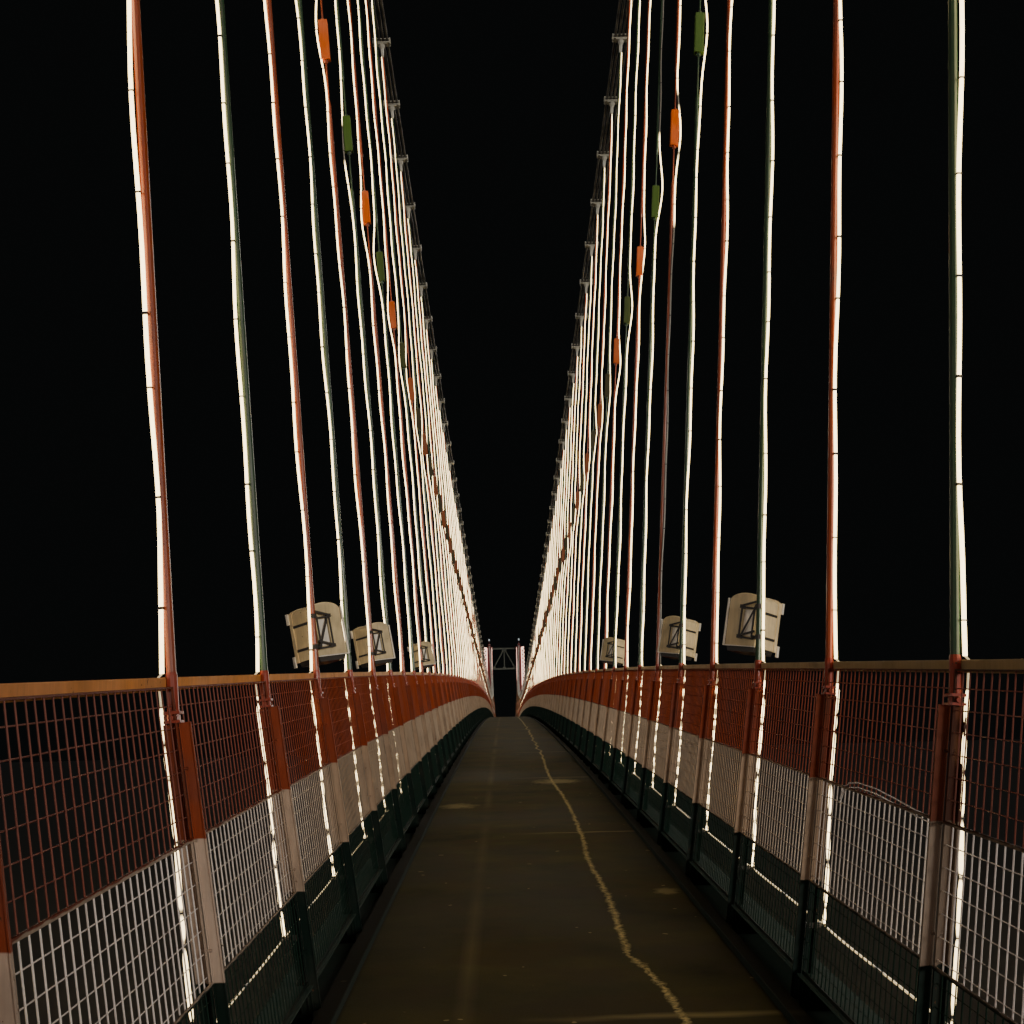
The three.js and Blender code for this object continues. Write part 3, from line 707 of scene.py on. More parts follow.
def walkway_material():
    """Worn coat on a slab, with a wandering crack and cross joints."""
    material, tree, shader = new_material("worn_walkway")
    where = use_group(tree, places)
    spot = where.outputs["Metres"]
    split_spot = node(tree, "ShaderNodeSeparateXYZ", {0: spot})
    x, y = split_spot.outputs["X"], split_spot.outputs["Y"]
    shake = math_node(tree, "MULTIPLY_ADD", noise(tree, spot, 7.0, 6.0, 0.75), 0.09, -0.045)
    middle = math_node(tree, "ADD", crack_offset(tree, y), shake)
    away = math_node(tree, "ABSOLUTE", math_node(tree, "SUBTRACT", x, middle))
    width = math_node(tree, "MULTIPLY_ADD", noise(tree, spot, 4.0, 5.0, 0.7), 0.07, -0.008)
    crack = math_node(tree, "SUBTRACT", 1.0, ramp(tree, away, 0.006, width))
    crumb = ramp(tree, noise(tree, spot, 26.0, 5.0, 0.8), 0.36, 0.56)
    crack = math_node(tree, "MULTIPLY", crack, crumb)
    bend = math_node(tree, "MULTIPLY_ADD", noise(tree, spot, 1.3, 3.0), 0.24, y)
    joint_place = math_node(tree, "FRACT", math_node(tree, "MULTIPLY_ADD", bend, 1 / 6.9, 0.33))
    joint_away = math_node(tree, "ABSOLUTE", math_node(tree, "SUBTRACT", joint_place, 0.5))
    joint = math_node(tree, "SUBTRACT", 1.0, ramp(tree, joint_away, 0.001, 0.009))
    joint = math_node(tree, "MULTIPLY", joint, ramp(tree, x, -0.2, 0.45))
    seam_away = math_node(tree, "ABSOLUTE", math_node(tree, "ADD", x, SEAM_OFFSET))
    seam = math_node(tree, "SUBTRACT", 1.0, ramp(tree, seam_away, 0.0, 0.06))
    seam = math_node(tree, "MULTIPLY", seam, ramp(tree, noise(tree, spot, 0.5, 2.0), 0.35, 0.65))
    cloud = noise(tree, spot, 1.2, 6.0, 0.6)
    grit = noise(tree, spot, 90.0, 2.0, 0.7)
    blotch = ramp(tree, noise(tree, spot, 0.45, 4.0), 0.42, 0.62)
    colour = blend(tree, ramp(tree, cloud, 0.3, 0.7), rgb(0.033, 0.03, 0.004), rgb(0.13, 0.112, 0.019))
    hue = ramp(tree, noise(tree, spot, 2.2, 3.0), 0.45, 0.58)
    colour = blend(tree, math_node(tree, "MULTIPLY", hue, 0.6), colour, rgb(0.095, 0.06, 0.014))
    colour = blend(tree, math_node(tree, "MULTIPLY", blotch, 0.6), colour, rgb(0.033, 0.03, 0.008))
    colour = blend(tree, math_node(tree, "MULTIPLY", grit, 0.25), colour, rgb(0.15, 0.12, 0.04))
    pale = rgb(0.9, 0.72, 0.3)
    fleck = ramp(tree, noise(tree, spot, 11.0, 1.0), 0.77, 0.79)
    colour = blend(tree, math_node(tree, "MULTIPLY", fleck, 0.4), colour, pale)
    for mark in SCUFFS:
        colour = blend(tree, math_node(tree, "MULTIPLY", scuff(tree, spot, x, y, *mark), 0.42), colour, pale)
    colour = blend(tree, math_node(tree, "MULTIPLY", seam, 0.1), colour, pale)
    colour = blend(tree, math_node(tree, "MULTIPLY", joint, 0.3), colour, pale)
    colour = blend(tree, math_node(tree, "MULTIPLY", crack, 0.95), colour, pale)
    edge = ramp(tree, where.outputs["Across"], 0.62, KERB_OFFSET)
    colour = blend(tree, math_node(tree, "MULTIPLY", edge, 0.35), colour, rgb(0.026, 0.034, 0.014))
    gutter = ramp(tree, where.outputs["Across"], KERB_OFFSET - 0.02, KERB_OFFSET + 0.01)
    colour = blend(tree, math_node(tree, "MULTIPLY", gutter, 0.85), colour, rgb(0.016, 0.018, 0.013))
    tree.links.new(colour, shader.inputs["Base Color"])
    tree.links.new(math_node(tree, "MULTIPLY_ADD", blotch, -0.12, 0.86), shader.inputs["Roughness"])
    shader.inputs["Specular IOR Level"].default_value = 0.03
    relief = math_node(tree, "MULTIPLY_ADD", crack, -0.8, math_node(tree, "MULTIPLY", grit, 0.4))
    relief = math_node(tree, "MULTIPLY_ADD", cloud, 0.5, relief)
    bump = node(tree, "ShaderNodeBump", {"Strength": 0.5, "Distance": 0.001, "Height": relief})
    tree.links.new(bump.outputs[0], shader.inputs["Normal"])
    return material


walkway_coat = walkway_material()

# %% Finishes of the solids that stay
for name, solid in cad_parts.items():
    if name.startswith("walkway_slab"):
        finish = walkway_coat
    elif name.startswith("floor_frame"):
        finish = floor_paint
    elif name.startswith(("pier", "anchor_block")):
        finish = concrete
    else:
        finish = tower_paint
    solid.data.materials.clear()
    solid.data.materials.append(finish)

# %% [markdown]
# ## Hanger rods
#
# Each hanger is a round rod in two lengths, joined by a long box nut near the
# middle that takes up the slack. At its foot it passes just inside the top
# rail, thickens into a sleeve and ends in a collar on the post. The rods are
# painted saffron and green in turn, and the two sides are out of step. They
# are bars whose size changes along the path, so a taper costs no more than a
# straight rod.

# %% Heights of a hanger's parts
BOX_SHARE = 0.431
BOX_LENGTH = 0.39
COLLAR = 1.395
SLEEVE_TOP = 1.548
SOCKET_BELOW_ROPE = 0.26

rope_above = rope_height(hangers)
free_length = rope_above - RAIL_HEIGHT
box_middle = RAIL_HEIGHT + np.maximum(BOX_SHARE * free_length, 0.5 * free_length.clip(max=0.8))
box_half = np.minimum(BOX_LENGTH, 0.3 * free_length) / 2
thin_run = np.minimum(0.42, 0.2 * free_length)
rod_top = rope_above - SOCKET_BELOW_ROPE
print("hanger lengths", free_length.min().round(2), "to", free_length.max().round(2), "m")


def rod_paths(side, which, heights):
    """Straight paths up a group of hangers. heights is rods x points."""
    y = np.broadcast_to(hangers[which][:, None], heights.shape)
    return place(side, rod_offset(heights), y, heights)


def columns(*rows):
    """Stacks numbers, one for each rod, side by side as points of a path."""
    length = max(np.size(row) for row in rows)
    return np.stack([np.broadcast_to(row, (length,)) for row in rows], axis=1)


# %% Rods, box nuts, sleeves and collars
ROD_RADIUS = 0.0172
THIN_RADIUS = 0.0085
SLEEVE_RADIUS = 0.0205


def hanger_parts(side, which):
    """All the steel of a group of hangers, from the collar to the socket."""
    middle, half, thin = box_middle[which], box_half[which], thin_run[which]
    bottom, top = middle - half, middle + half
    lower = columns(SLEEVE_TOP - 0.02, bottom - thin - 0.05, bottom - thin, bottom)
    upper = columns(top, top + thin, top + thin + 0.05, rod_top[which])
    lower_size = np.array([ROD_RADIUS, ROD_RADIUS, THIN_RADIUS, THIN_RADIUS])
    upper_size = np.array([THIN_RADIUS, THIN_RADIUS, 0.015, 0.015])
    parts = [
        bars(rod_paths(side, which, lower), circle(10), size=np.broadcast_to(lower_size, lower.shape)),
        bars(rod_paths(side, which, upper), circle(10), size=np.broadcast_to(upper_size, upper.shape))]
    for low, high, radius in ((bottom - 0.045, bottom - 0.014, 0.023), (top + 0.003, top + 0.022, 0.018)):
        parts.append(bars(rod_paths(side, which, columns(low, high)), circle(6), size=radius))
    return parts


def sleeve_parts(side):
    """The foot of every hanger: a sleeve that tapers onto the rod, two collar
    plates with a pin through them, and a nut below."""
    whole = np.ones(len(hangers))
    sleeve = rod_paths(side, slice(None), columns(whole * COLLAR, SLEEVE_TOP - 0.012, SLEEVE_TOP))
    sizes = np.broadcast_to([SLEEVE_RADIUS, SLEEVE_RADIUS, ROD_RADIUS + 0.001], sleeve.shape[:2])
    parts = [bars(sleeve, circle(10), size=sizes)]
    for low, high, wide, deep in ((0.008, 0.018, 0.056, 0.08), (-0.022, -0.013, 0.056, 0.08)):
        collar = rod_paths(side, slice(None), columns(whole * (COLLAR + low), COLLAR + high))
        parts.append(bars(collar, rectangle(wide, deep, 0.006)))
    middle = COLLAR - 0.002
    pin = place(side, rod_offset(middle), np.stack([hangers - 0.046, hangers + 0.046], 1), middle)
    parts.append(bars(pin, circle(6), size=0.01))
    nut = rod_paths(side, slice(None), columns(whole * (COLLAR - 0.013), COLLAR + 0.008))
    parts.append(bars(nut, circle(6), size=0.024))
    return parts


def box_nuts(side, which):
    """The long box nuts of a group of hangers, each on its end plate."""
    bottom, top = box_middle[which] - box_half[which], box_middle[which] + box_half[which]
    body = rod_paths(side, which, columns(bottom, bottom + 0.006, top - 0.006, top))
    sizes = np.broadcast_to([0.96, 1.0, 1.0, 0.95], body.shape[:2])
    plate = rod_paths(side, which, columns(bottom - 0.013, bottom - 0.003))
    return [bars(body, rectangle(0.084, 0.07, 0.005), size=sizes), bars(plate, rectangle(0.092, 0.078, 0.006))]


for label, side in SIDES.items():
    odd = np.arange(len(hangers)) % 2 == 0
    saffron = odd if side < 0 else ~odd
    nodes = in_lengths(f"hanger_rods_{label}")
    piece(f"saffron_rods_{label}", hanger_parts(side, saffron), saffron_paint, "saffron_paint", *nodes)
    piece(f"green_rods_{label}", hanger_parts(side, ~saffron), green_paint, "green_paint", *nodes)
    piece(f"hanger_sleeves_{label}", sleeve_parts(side), sleeve_paint, "saffron_paint", *nodes)
    piece(f"saffron_box_nuts_{label}", box_nuts(side, saffron), box_saffron, "saffron_paint", *nodes)
    piece(f"green_box_nuts_{label}", box_nuts(side, ~saffron), box_green, "green_paint", *nodes)

# %% [markdown]
# ## Ropes, clamps and sockets
#
# Four ropes lie side by side on each side of the bridge. At every hanger two
# plates squeeze them together, and a tapered socket below the plates holds
# the rod. Drawing every wire of a rope would take millions of faces, so the
# rope is a smooth bar and its lay is in the material.

# %% Ropes between the saddles
ROPE_RADIUS = 0.022
ROPE_PITCH = 0.072
ROPE_PLACES = (np.arange(4) - 1.5) * ROPE_PITCH
SADDLE_HALF = 0.6
rope_stations = np.concatenate([[-HALF_SPAN + SADDLE_HALF], stations[1:-1], [HALF_SPAN - SADDLE_HALF]])
for label, side in SIDES.items():
    level = rope_height(rope_stations)
    rows = np.stack([place(side, rod_offset(level) + shift, rope_stations, level) for shift in ROPE_PLACES])
    piece(f"ropes_{label}", bars(rows, circle(12), size=ROPE_RADIUS), rope_steel, "wire_rope",
          f"main_ropes_{label}", smooth=True)


# %% Clamps and sockets
def clamp_parts(side):
    """Two plates, four bolts and a socket at each hanger. The plates lie
    square to the rope, so their axes follow its slope."""
    slope = (2 * (ROPE_TOP - ROPE_LOW) - 2 * CAMBER) * hangers / HALF_SPAN ** 2
    run = unit(np.stack([np.zeros_like(slope), np.ones_like(slope), slope], 1))
    wide = np.broadcast_to([1.0, 0, 0], run.shape)
    rise = np.cross(wide, run)
    axes = np.stack([wide, run, rise], 1)
    centre = place(side, rod_offset(rope_above), hangers, rope_above)
    parts = [blocks(centre + rise * shift, (0.32, 0.13, 0.018), axes) for shift in (-0.033, 0.033)]
    parts.append(blocks(centre - rise * 0.051, (0.2, 0.1, 0.02), axes))
    for across in (-0.148, 0.148):
        for along in (-0.042, 0.042):
            spot = centre + wide * across + run * along
            bolt = np.stack([spot - rise * 0.058, spot + rise * 0.062], 1)
            parts.append(bars(bolt, circle(6), size=0.011))
    heights = columns(rope_above - SOCKET_BELOW_ROPE - 0.03, rope_above - SOCKET_BELOW_ROPE,
                      rope_above - 0.14, rope_above - 0.1, rope_above - 0.045)
    sizes = np.broadcast_to([0.018, 0.026, 0.03, 0.052, 0.06], heights.shape)
    parts.append(bars(rod_paths(side, slice(None), heights), circle(8), size=sizes))
    return parts


for label, side in SIDES.items():
    piece(f"rope_clamps_{label}", clamp_parts(side), clamp_steel, "dark_fittings",
          f"main_ropes_{label}")

# %% [markdown]
# ## Strips of light
#
# A strip of light hangs beside every rod, from the clamp to the walkway. It
# was tied on by hand, so it wanders, and it swings out round the box nut. The
# wander is a sum of slow waves with a different start on each hanger.
# Thousands of short dark ties hold the strips: each tie is a small block that
# reads its place from the same formula, so it always sits on the strip.

# %% Paths of the strips
chance = np.random.default_rng(7)
STRIP_RADIUS = 0.0082
STRIP_OUT = 0.018
STRIP_BACK = 0.0195
STRIP_FOOT = 0.32
STRIP_START = RAIL_HEIGHT + 0.012
BINDING_HEIGHTS = np.array([0.42, 0.62, 0.81, 0.99, 1.17, 1.335, 1.485])
waves = {side: {"phase": chance.uniform(0, 2 * np.pi, (len(hangers), 4)),
                "bulge": chance.uniform(0.04, 0.06, len(hangers)),
                "shift": chance.uniform(-0.25, 0.25, len(hangers)),
                "bindings": BINDING_HEIGHTS + chance.uniform(-0.07, 0.07, (len(hangers), 7)) * (BINDING_HEIGHTS < 1.4),
                "reach": np.where(BINDING_HEIGHTS < 1.4, chance.uniform(0.003, 0.016, (len(hangers), 7)), 0.06)}
         for side in SIDES.values()}


def strip_points(side, index, heights):
    """Points of a strip at given heights. It lies against the rod, outward and
    toward the near bank of its middle. Outward it adds two slow waves and a
    bell-shaped swing at the box nut. It stops on top of the rail. A thin lead
    goes on round the outside of the rail, and the lower strip hangs from it,
    a little outside the screen."""
    wave = waves[side]
    phase = wave["phase"][index]
    shape = heights.shape[:-1] + (1,)
    begin = [phase[..., k].reshape(shape) for k in range(4)]
    above = np.clip((heights - RAIL_HEIGHT) / 0.6, 0, 1)
    swing = 0.006 * np.sin(2.3 * heights + begin[0]) + 0.004 * np.sin(5.9 * heights + begin[1])
    middle = (box_middle[index] + wave["shift"][index]).reshape(shape)
    bulge = wave["bulge"][index].reshape(shape) * np.exp(-((heights - middle) / 0.42) ** 2)
    round_rail = 0.011 * np.exp(-np.abs(heights - RAIL_HEIGHT) / 0.2)
    upper = rod_offset(heights) + STRIP_OUT + round_rail + above * (swing + bulge)
    over_rail = 0.013 * np.clip((heights - RAIL_HEIGHT) / 0.01, 0, 1)
    lower = 1.214 + 0.12 * heights + 0.004 * np.sin(7 * heights + begin[2]) * (heights < 1.4) - over_rail
    outer = np.where(heights > STRIP_START, upper, lower)
    sideways = above * 0.006 * np.sin(1.9 * heights + begin[2]) - STRIP_BACK
    y = hangers[index].reshape(shape) + sideways
    return place(side, outer, y, heights)


def free_share(side, index, heights):
    """0 inside a binding of the strip's lower part, 1 well away from all of
    them, and an even slope between."""
    away = np.abs(heights[:, :, None] - waves[side]["bindings"][index][:, None])
    away = away - waves[side]["reach"][index][:, None]
    return np.clip(away / 0.035, 0, 1).min(axis=2)


DEAD_LENGTHS = {-1: [(9, 7.0, 7.5)],
                1: [(9, 1.5, 6.2), (9, 6.95, 7.1), (9, 7.6, 7.8), (10, 8.0, 15.0)]}


def lit_share(side, index, heights):
    """1 where the strip glows and 0 in the dead lengths of its hanger."""
    share = np.ones(heights.shape)
    for hanger, low, high in DEAD_LENGTHS[side]:
        row = (index == hanger)[:, None]
        share[row & (heights > low) & (heights < high)] = 0.0
    return share


def set_lit(glowing, values):
    """Stores the share as an attribute of the points."""
    attribute = glowing.data.attributes.new("lit", "FLOAT", "POINT")
    attribute.data.foreach_set("value", values.astype(np.float32))


# %% Strips on every hanger
FINE_POINTS, FINE_SIDES = 140, 8
PLAIN_POINTS, PLAIN_SIDES = 36, 4
FINE_UNTIL = 14
strip_top = rope_above - 0.3
for label, side in SIDES.items():
    parts, shares = [], []
    for index, count, sides in ((np.arange(FINE_UNTIL), FINE_POINTS, FINE_SIDES),
                                (np.arange(FINE_UNTIL, len(hangers)), PLAIN_POINTS, PLAIN_SIDES)):
        t = np.linspace(0, 1, count)
        heights = STRIP_START + 0.001 + t[None] * (strip_top[index] - STRIP_START)[:, None]
        parts.append(bars(strip_points(side, index, heights), circle(sides), size=STRIP_RADIUS))
        shares.append(np.repeat(lit_share(side, index, heights).ravel(), sides))
    strip = piece(f"light_strips_{label}", parts, strip_glow, "light_strip", smooth=True)
    set_lit(strip, np.concatenate(shares))

# %% Strips below the rail
WHOLE_UNTIL = 7
DASH_PITCH = 0.115
for label, side in SIDES.items():
    parts, shares = [], []
    for index, count, sides in ((np.arange(FINE_UNTIL), 100, FINE_SIDES),
                                (np.arange(FINE_UNTIL, len(hangers)), 34, PLAIN_SIDES)):
        heights = np.broadcast_to(np.linspace(STRIP_FOOT, STRIP_START, count), (len(index), count))
        free = free_share(side, index, heights)
        thickness = STRIP_RADIUS * (0.5 + 0.5 * np.sqrt(free))
        parts.append(bars(strip_points(side, index, heights), circle(sides), size=thickness))
        dashes = (heights / DASH_PITCH + 0.37 * index[:, None]) % 1 < 0.62
        lit = (free > 0) & (dashes | (index < WHOLE_UNTIL)[:, None])
        shares.append(np.repeat((0.12 + 0.88 * lit).ravel(), sides))
    strip = piece(f"screen_strips_{label}", parts, screen_glow, "light_strip", smooth=True)
    set_lit(strip, np.concatenate(shares))

# %% Ties
HIGH_TIE_STEP = 0.39
LEAN_AXES = {side: np.array([[1, 0, -side * ROD_LEAN], [0, 1, 0], [side * ROD_LEAN, 0, 1]])
             for side in SIDES.values()}
for label, side in SIDES.items():
    points, sizes = [], []
    for index in range(len(hangers)):
        low = waves[side]["bindings"][index][:-1]
        high = np.arange(1.72, strip_top[index], HIGH_TIE_STEP)
        high = high + chance.uniform(-0.06, 0.06, len(high))
        heights = np.concatenate([low, high])
        points.append(strip_points(side, np.array([index]), heights[None])[0])
        tall = np.concatenate([waves[side]["reach"][index][:-1] * 0.8, chance.uniform(0.004, 0.011, len(high))])
        wide = np.where(heights < 1.5, 0.0125, 2 * STRIP_RADIUS + 0.003)
        sizes.append(np.stack([wide, wide, tall], 1))
    piece(f"strip_ties_{label}", blocks(np.concatenate(points), np.concatenate(sizes), LEAN_AXES[side]),
          fitting_paint, "dark_fittings")

# %% [markdown]
# ## Top rail
#
# The rail is one long flat bar on edge, with its corners taken off. It runs
# outside the rods and dips and rises with the walkway.

# %% Top rail
rail_stations = np.concatenate([[-HALF_SPAN - DECK_OVERRUN + 0.01], stations, [HALF_SPAN + DECK_OVERRUN - 0.01]])
RAIL_MIDDLE = RAIL_HEIGHT - 0.0225
for label, side in SIDES.items():
    path = place(side, 1.381, rail_stations, RAIL_MIDDLE)[None]
    piece(f"top_rail_{label}", bars(path, rectangle(0.017, 0.045, 0.003)), rail_paint[label], "saffron_paint",
          *in_lengths(f"hanger_rods_{label}"))

# %% [markdown]
# ## Side screens
#
# Between two posts hangs a panel of welded wire in a flat frame. A post is a
# pair of angles with a narrow gap, bolted back to back through the gap. An
# image of a mesh would be cheap, but it has no edges and no thickness, and
# from the walkway the wires are near enough to count. A wire needs only four
# sides, so all the panels of one side are a few tens of thousands of faces.

# %% Welded wire panels
WIRE = 0.0028
CROSS_WIRE = 0.0023
PANEL_MARGIN = 0.03
WIRES_A_PANEL = 25
CROSS_PITCH = 0.0745
PANEL_FOOT = 0.1
PANEL_HEAD = 1.498
NEAR_BEND = 0.0018


def wire_parts(side, first, last):
    """Upright and level wires of the panels between two stations. An upright
    wire stands where the chord between two posts is."""
    start, stop = stations[first:last], stations[first + 1:last + 1]
    share = (np.arange(WIRES_A_PANEL) + 1) / (WIRES_A_PANEL + 1)
    span = stop - start - 2 * PANEL_MARGIN
    y = (start + PANEL_MARGIN)[:, None] + share[None] * span[:, None]
    points = 6 if first == 0 else 2
    y = np.repeat(y.ravel()[:, None], points, axis=1)
    if points > 2:
        y = y + chance.normal(0, NEAR_BEND, y.shape)
    height = np.broadcast_to(np.linspace(PANEL_FOOT, PANEL_HEAD, points), y.shape)
    upright = place(side, screen_offset(height), y, height)
    level = WHITE_TO + CROSS_PITCH * np.arange(-11, 7)
    ends = np.stack([start + PANEL_MARGIN, stop - PANEL_MARGIN], 1)
    ends, level = np.broadcast_arrays(ends[:, None], level[None, :, None])
    ends, level = ends.reshape(-1, 2), level.reshape(-1, 2)
    cross = place(side, screen_offset(level) + WIRE + CROSS_WIRE, ends, level)
    return [bars(upright, circle(4, turn=0.0), size=WIRE, hint=(0, 1, 0)),
            bars(cross, circle(4, turn=0.0), size=CROSS_WIRE)]


splits = (0, 46, 90, 136)
for label, side in SIDES.items():
    for length, first, last in zip(LENGTHS, splits[:-1], splits[1:]):
        piece(f"screen_wires_{label}_{length}", wire_parts(side, first, last), screen_paint,
              "banded_paint", f"side_frame_{label}_{length}")

# %% A border wire that has sprung out of its panel
SPRUNG = np.array([[-117.72, 0.984], [-117.52, 0.991], [-117.3, 1.004], [-116.97, 1.02], [-116.7, 1.021],
                   [-116.54, 1.008], [-116.45, 0.98], [-116.4, 0.93]])
sprung_paths = []
for lower in (0.0, 0.019):
    y, height = SPRUNG[:, 0], SPRUNG[:, 1] - lower
    sprung_paths.append(place(1, screen_offset(height) - WIRE - 0.004, y, height))
piece("sprung_wires_right", bars(np.stack(sprung_paths), circle(6), size=0.0032), sprung_paint,
      "banded_paint", "side_frame_right_near")


# %% Posts and panel frames
POST_TOP = 1.372
INNER_ANGLE = np.array([[-0.007, -0.046], [0.007, -0.046], [0.007, -0.042], [0.003, -0.042],
                        [0.003, -0.011], [0.011, -0.011], [0.011, -0.006], [-0.011, -0.006],
                        [-0.011, -0.011], [-0.003, -0.011], [-0.003, -0.042], [-0.007, -0.042]])
OUTER_ANGLE = np.array([[-0.014, 0.007], [0.014, 0.007], [0.014, 0.012], [0.003, 0.012],
                        [0.003, 0.04], [0.026, 0.04], [0.026, 0.045], [-0.026, 0.045],
                        [-0.026, 0.04], [-0.003, 0.04], [-0.003, 0.012], [-0.014, 0.012]])


def post_length(side, section):
    """One rolled section at every station, from the girder to the collar."""
    height = np.array([-0.02, POST_TOP])
    path = place(side, screen_offset(height)[None], stations[:, None] + np.zeros(2), height[None])
    return bars(path, section * [1, -side], hint=(0, 1, 0))


def post_parts(side):
    """The outer sections, and the flat bars of the panels: one along each
    edge, and others at the foot, at both colour borders and at the head."""
    y = stations
    parts = [post_length(side, OUTER_ANGLE)]
    inward = np.array([-side, 0.0, 0.0])
    for turn in (-1, 1):
        beside = y[:, None] + turn * 0.028 + np.zeros(2)
        frame_height = np.array([PANEL_FOOT - 0.01, PANEL_HEAD])
        path = place(side, screen_offset(frame_height)[None] - 0.003, beside, frame_height[None])
        parts.append(bars(path, rectangle(0.006, 0.014)))
    for bolt_height in (0.25, 0.62, 0.98, 1.22):
        centre = place(side, screen_offset(bolt_height), y - 0.009, bolt_height)
        bolt = np.stack([centre + inward * 0.018, centre - inward * 0.02], 1)
        parts.append(bars(bolt, circle(6), size=0.006, hint=(0, 1, 0)))
    ends = np.stack([y[:-1] + 0.022, y[1:] - 0.022], 1)
    for level, tall, deep, back in ((PANEL_FOOT, 0.035, 0.006, 0.003), (GREEN_TO, 0.014, 0.005, 0.008),
                                    (WHITE_TO, 0.012, 0.005, 0.008), (PANEL_HEAD - 0.003, 0.006, 0.026, -0.008)):
        path = place(side, screen_offset(level) - back, ends, level)
        parts.append(bars(path, rectangle(deep, tall)))
    return parts


for label, side in SIDES.items():
    nodes = in_lengths(f"side_frame_{label}")
    piece(f"posts_{label}", post_parts(side), post_paint[label], "banded_paint", *nodes)
    piece(f"inner_posts_{label}", post_length(side, INNER_ANGLE), inner_paint[label], "banded_paint", *nodes)

# %% [markdown]
# ## Edge girder, kerb and the low strip of light
#
# A channel with its open side inward carries the posts and closes the edge of
# the walkway. A low kerb keeps feet out of the gutter beside it. A single
# strip of light runs behind the screen near its foot.

# %% Edge girder and kerb
GIRDER = np.array([[1.12, -0.098], [1.28, -0.098], [1.28, 0.08], [1.12, 0.08],
                   [1.12, 0.072], [1.272, 0.072], [1.272, -0.09], [1.12, -0.09]])
for label, side in SIDES.items():
    middle_line = place(side, 1.2, rail_stations, 0.0)[None]
    section = (GIRDER - [1.2, 0.0]) * [side, 1]
    parts = [bars(middle_line, section)]
    ribs = place(side, 1.196, stations, -0.009)
    parts.append(blocks(ribs, (0.148, 0.012, 0.16)))
    piece(f"edge_girder_{label}", parts, floor_paint, "floor_steel", *in_lengths(f"side_frame_{label}"))
    kerb = place(side, KERB_OFFSET, rail_stations, 0.018)[None]
    piece(f"kerb_{label}", bars(kerb, rectangle(0.008, 0.04, 0.002)), floor_paint, "floor_steel")

# %% Low strip of light
LOW_STRIP = 0.31
LOW_STRIP_OFFSET = 1.262
for label, side in SIDES.items():
    y = np.linspace(-HALF_SPAN + 0.3, HALF_SPAN - 0.3, 24 * 2 * HALF_PANELS + 1)
    droop = -0.012 * np.sin(np.pi * (y / PANEL % 1)) + 0.005 * np.sin(3.1 * y)
    path = place(side, LOW_STRIP_OFFSET, y, LOW_STRIP + droop)[None]
    strip = piece(f"low_light_strip_{label}", bars(path, circle(6), size=0.005), low_glow, "light_strip", smooth=True)
    away = np.abs((y / PANEL * 2 + 0.5) % 1 - 0.5) * PANEL / 2
    set_lit(strip, np.repeat((away > 0.06) * 1.0, 6))
    hold = place(side, (LOW_STRIP_OFFSET + screen_offset(LOW_STRIP)) / 2, stations, LOW_STRIP)
    piece(f"low_strip_clips_{label}", blocks(hold, (0.1, 0.02, 0.024)), fitting_paint, "dark_fittings")

# %% [markdown]
# ## Lamp housings
#
# Six sheet-metal housings hang behind hangers near the end of the bridge.
# Each is a box with a hooped hood, turned so that one face looks at the
# walkway, and leaning outward. A dark bracket of two double arms, uprights
# and a slanting brace lies across that face and reaches the rod.

# %% Sheet-metal housings
HOUSING_HANGERS = (3, 5, 9)
HOUSING = (0.24, 0.24, 0.3)
HOUSING_LIFT = 0.1
HOUSING_GAP = 0.04
HOUSING_TURN = np.pi / 4
HOUSING_TILT = np.radians(10)
HOOD_RISE = 0.045


def housing_frame(side, number):
    """Centre of a housing, and three axes: along the face that looks at the
    walkway, out of that face, and up the leaning housing."""
    y = (FIRST_HANGER + number - 1) * PANEL
    height = RAIL_HEIGHT + HOUSING_LIFT + HOUSING[2] / 2
    back = 0.016 + 0.003 + HOUSING_GAP + np.hypot(HOUSING[0], HOUSING[1]) / 2
    centre = place(side, rod_offset(height), y, height) + [0, back, 0]
    turn, tilt = -side * HOUSING_TURN, side * HOUSING_TILT
    flat = np.array([[np.cos(turn), np.sin(turn), 0], [np.sin(turn), -np.cos(turn), 0], [0, 0, 1]])
    lean = np.array([[np.cos(tilt), 0, -np.sin(tilt)], [0, 1, 0], [np.sin(tilt), 0, np.cos(tilt)]])
    return centre, flat @ lean


def local(frame_of, points):
    """Points given along a housing's own axes, as points of the bridge."""
    centre, axes = frame_of
    return centre + np.asarray(points, float) @ axes


def hooped_outline(steps=14):
    """Outline of the face: straight sides and foot, and half an ellipse."""
    angle = np.linspace(0, np.pi, steps)
    arch = np.stack([HOUSING[0] / 2 * np.cos(angle), HOUSING[2] / 2 + HOOD_RISE * np.sin(angle)], 1)
    foot = np.array([[-HOUSING[0] / 2, -HOUSING[2] / 2], [HOUSING[0] / 2, -HOUSING[2] / 2]])
    return np.concatenate([foot, arch])


def slab(frame_of, outline, back, front):
    """A flat outline, given across and up, thickened out of the face."""
    outline = np.asarray(outline, float)
    rings = [np.stack([outline[:, 0], np.full(len(outline), depth), outline[:, 1]], 1)
             for depth in (back, front)]
    points = local(frame_of, np.concatenate(rings))
    count = len(outline)
    index = np.arange(count)
    walls = np.stack([index, np.roll(index, -1), np.roll(index, -1) + count, index + count], 1)
    lids = np.stack([index[::-1], index + count])
    return {"points": points, "faces": [walls, lids],
            "maps": [np.zeros((count, 4, 2)), np.zeros((2, count, 2))]}


def strip_between(frame_of, first, last, wide, deep):
    """A flat bar between two points on a housing's own axes."""
    centre, axes = frame_of
    path = local(frame_of, [first, last])[None]
    return bars(path, rectangle(wide, deep), hint=axes[1])


def scaled(outline, across, upward):
    """An outline drawn smaller or larger round the middle of its face."""
    return np.asarray(outline) * [across, upward]


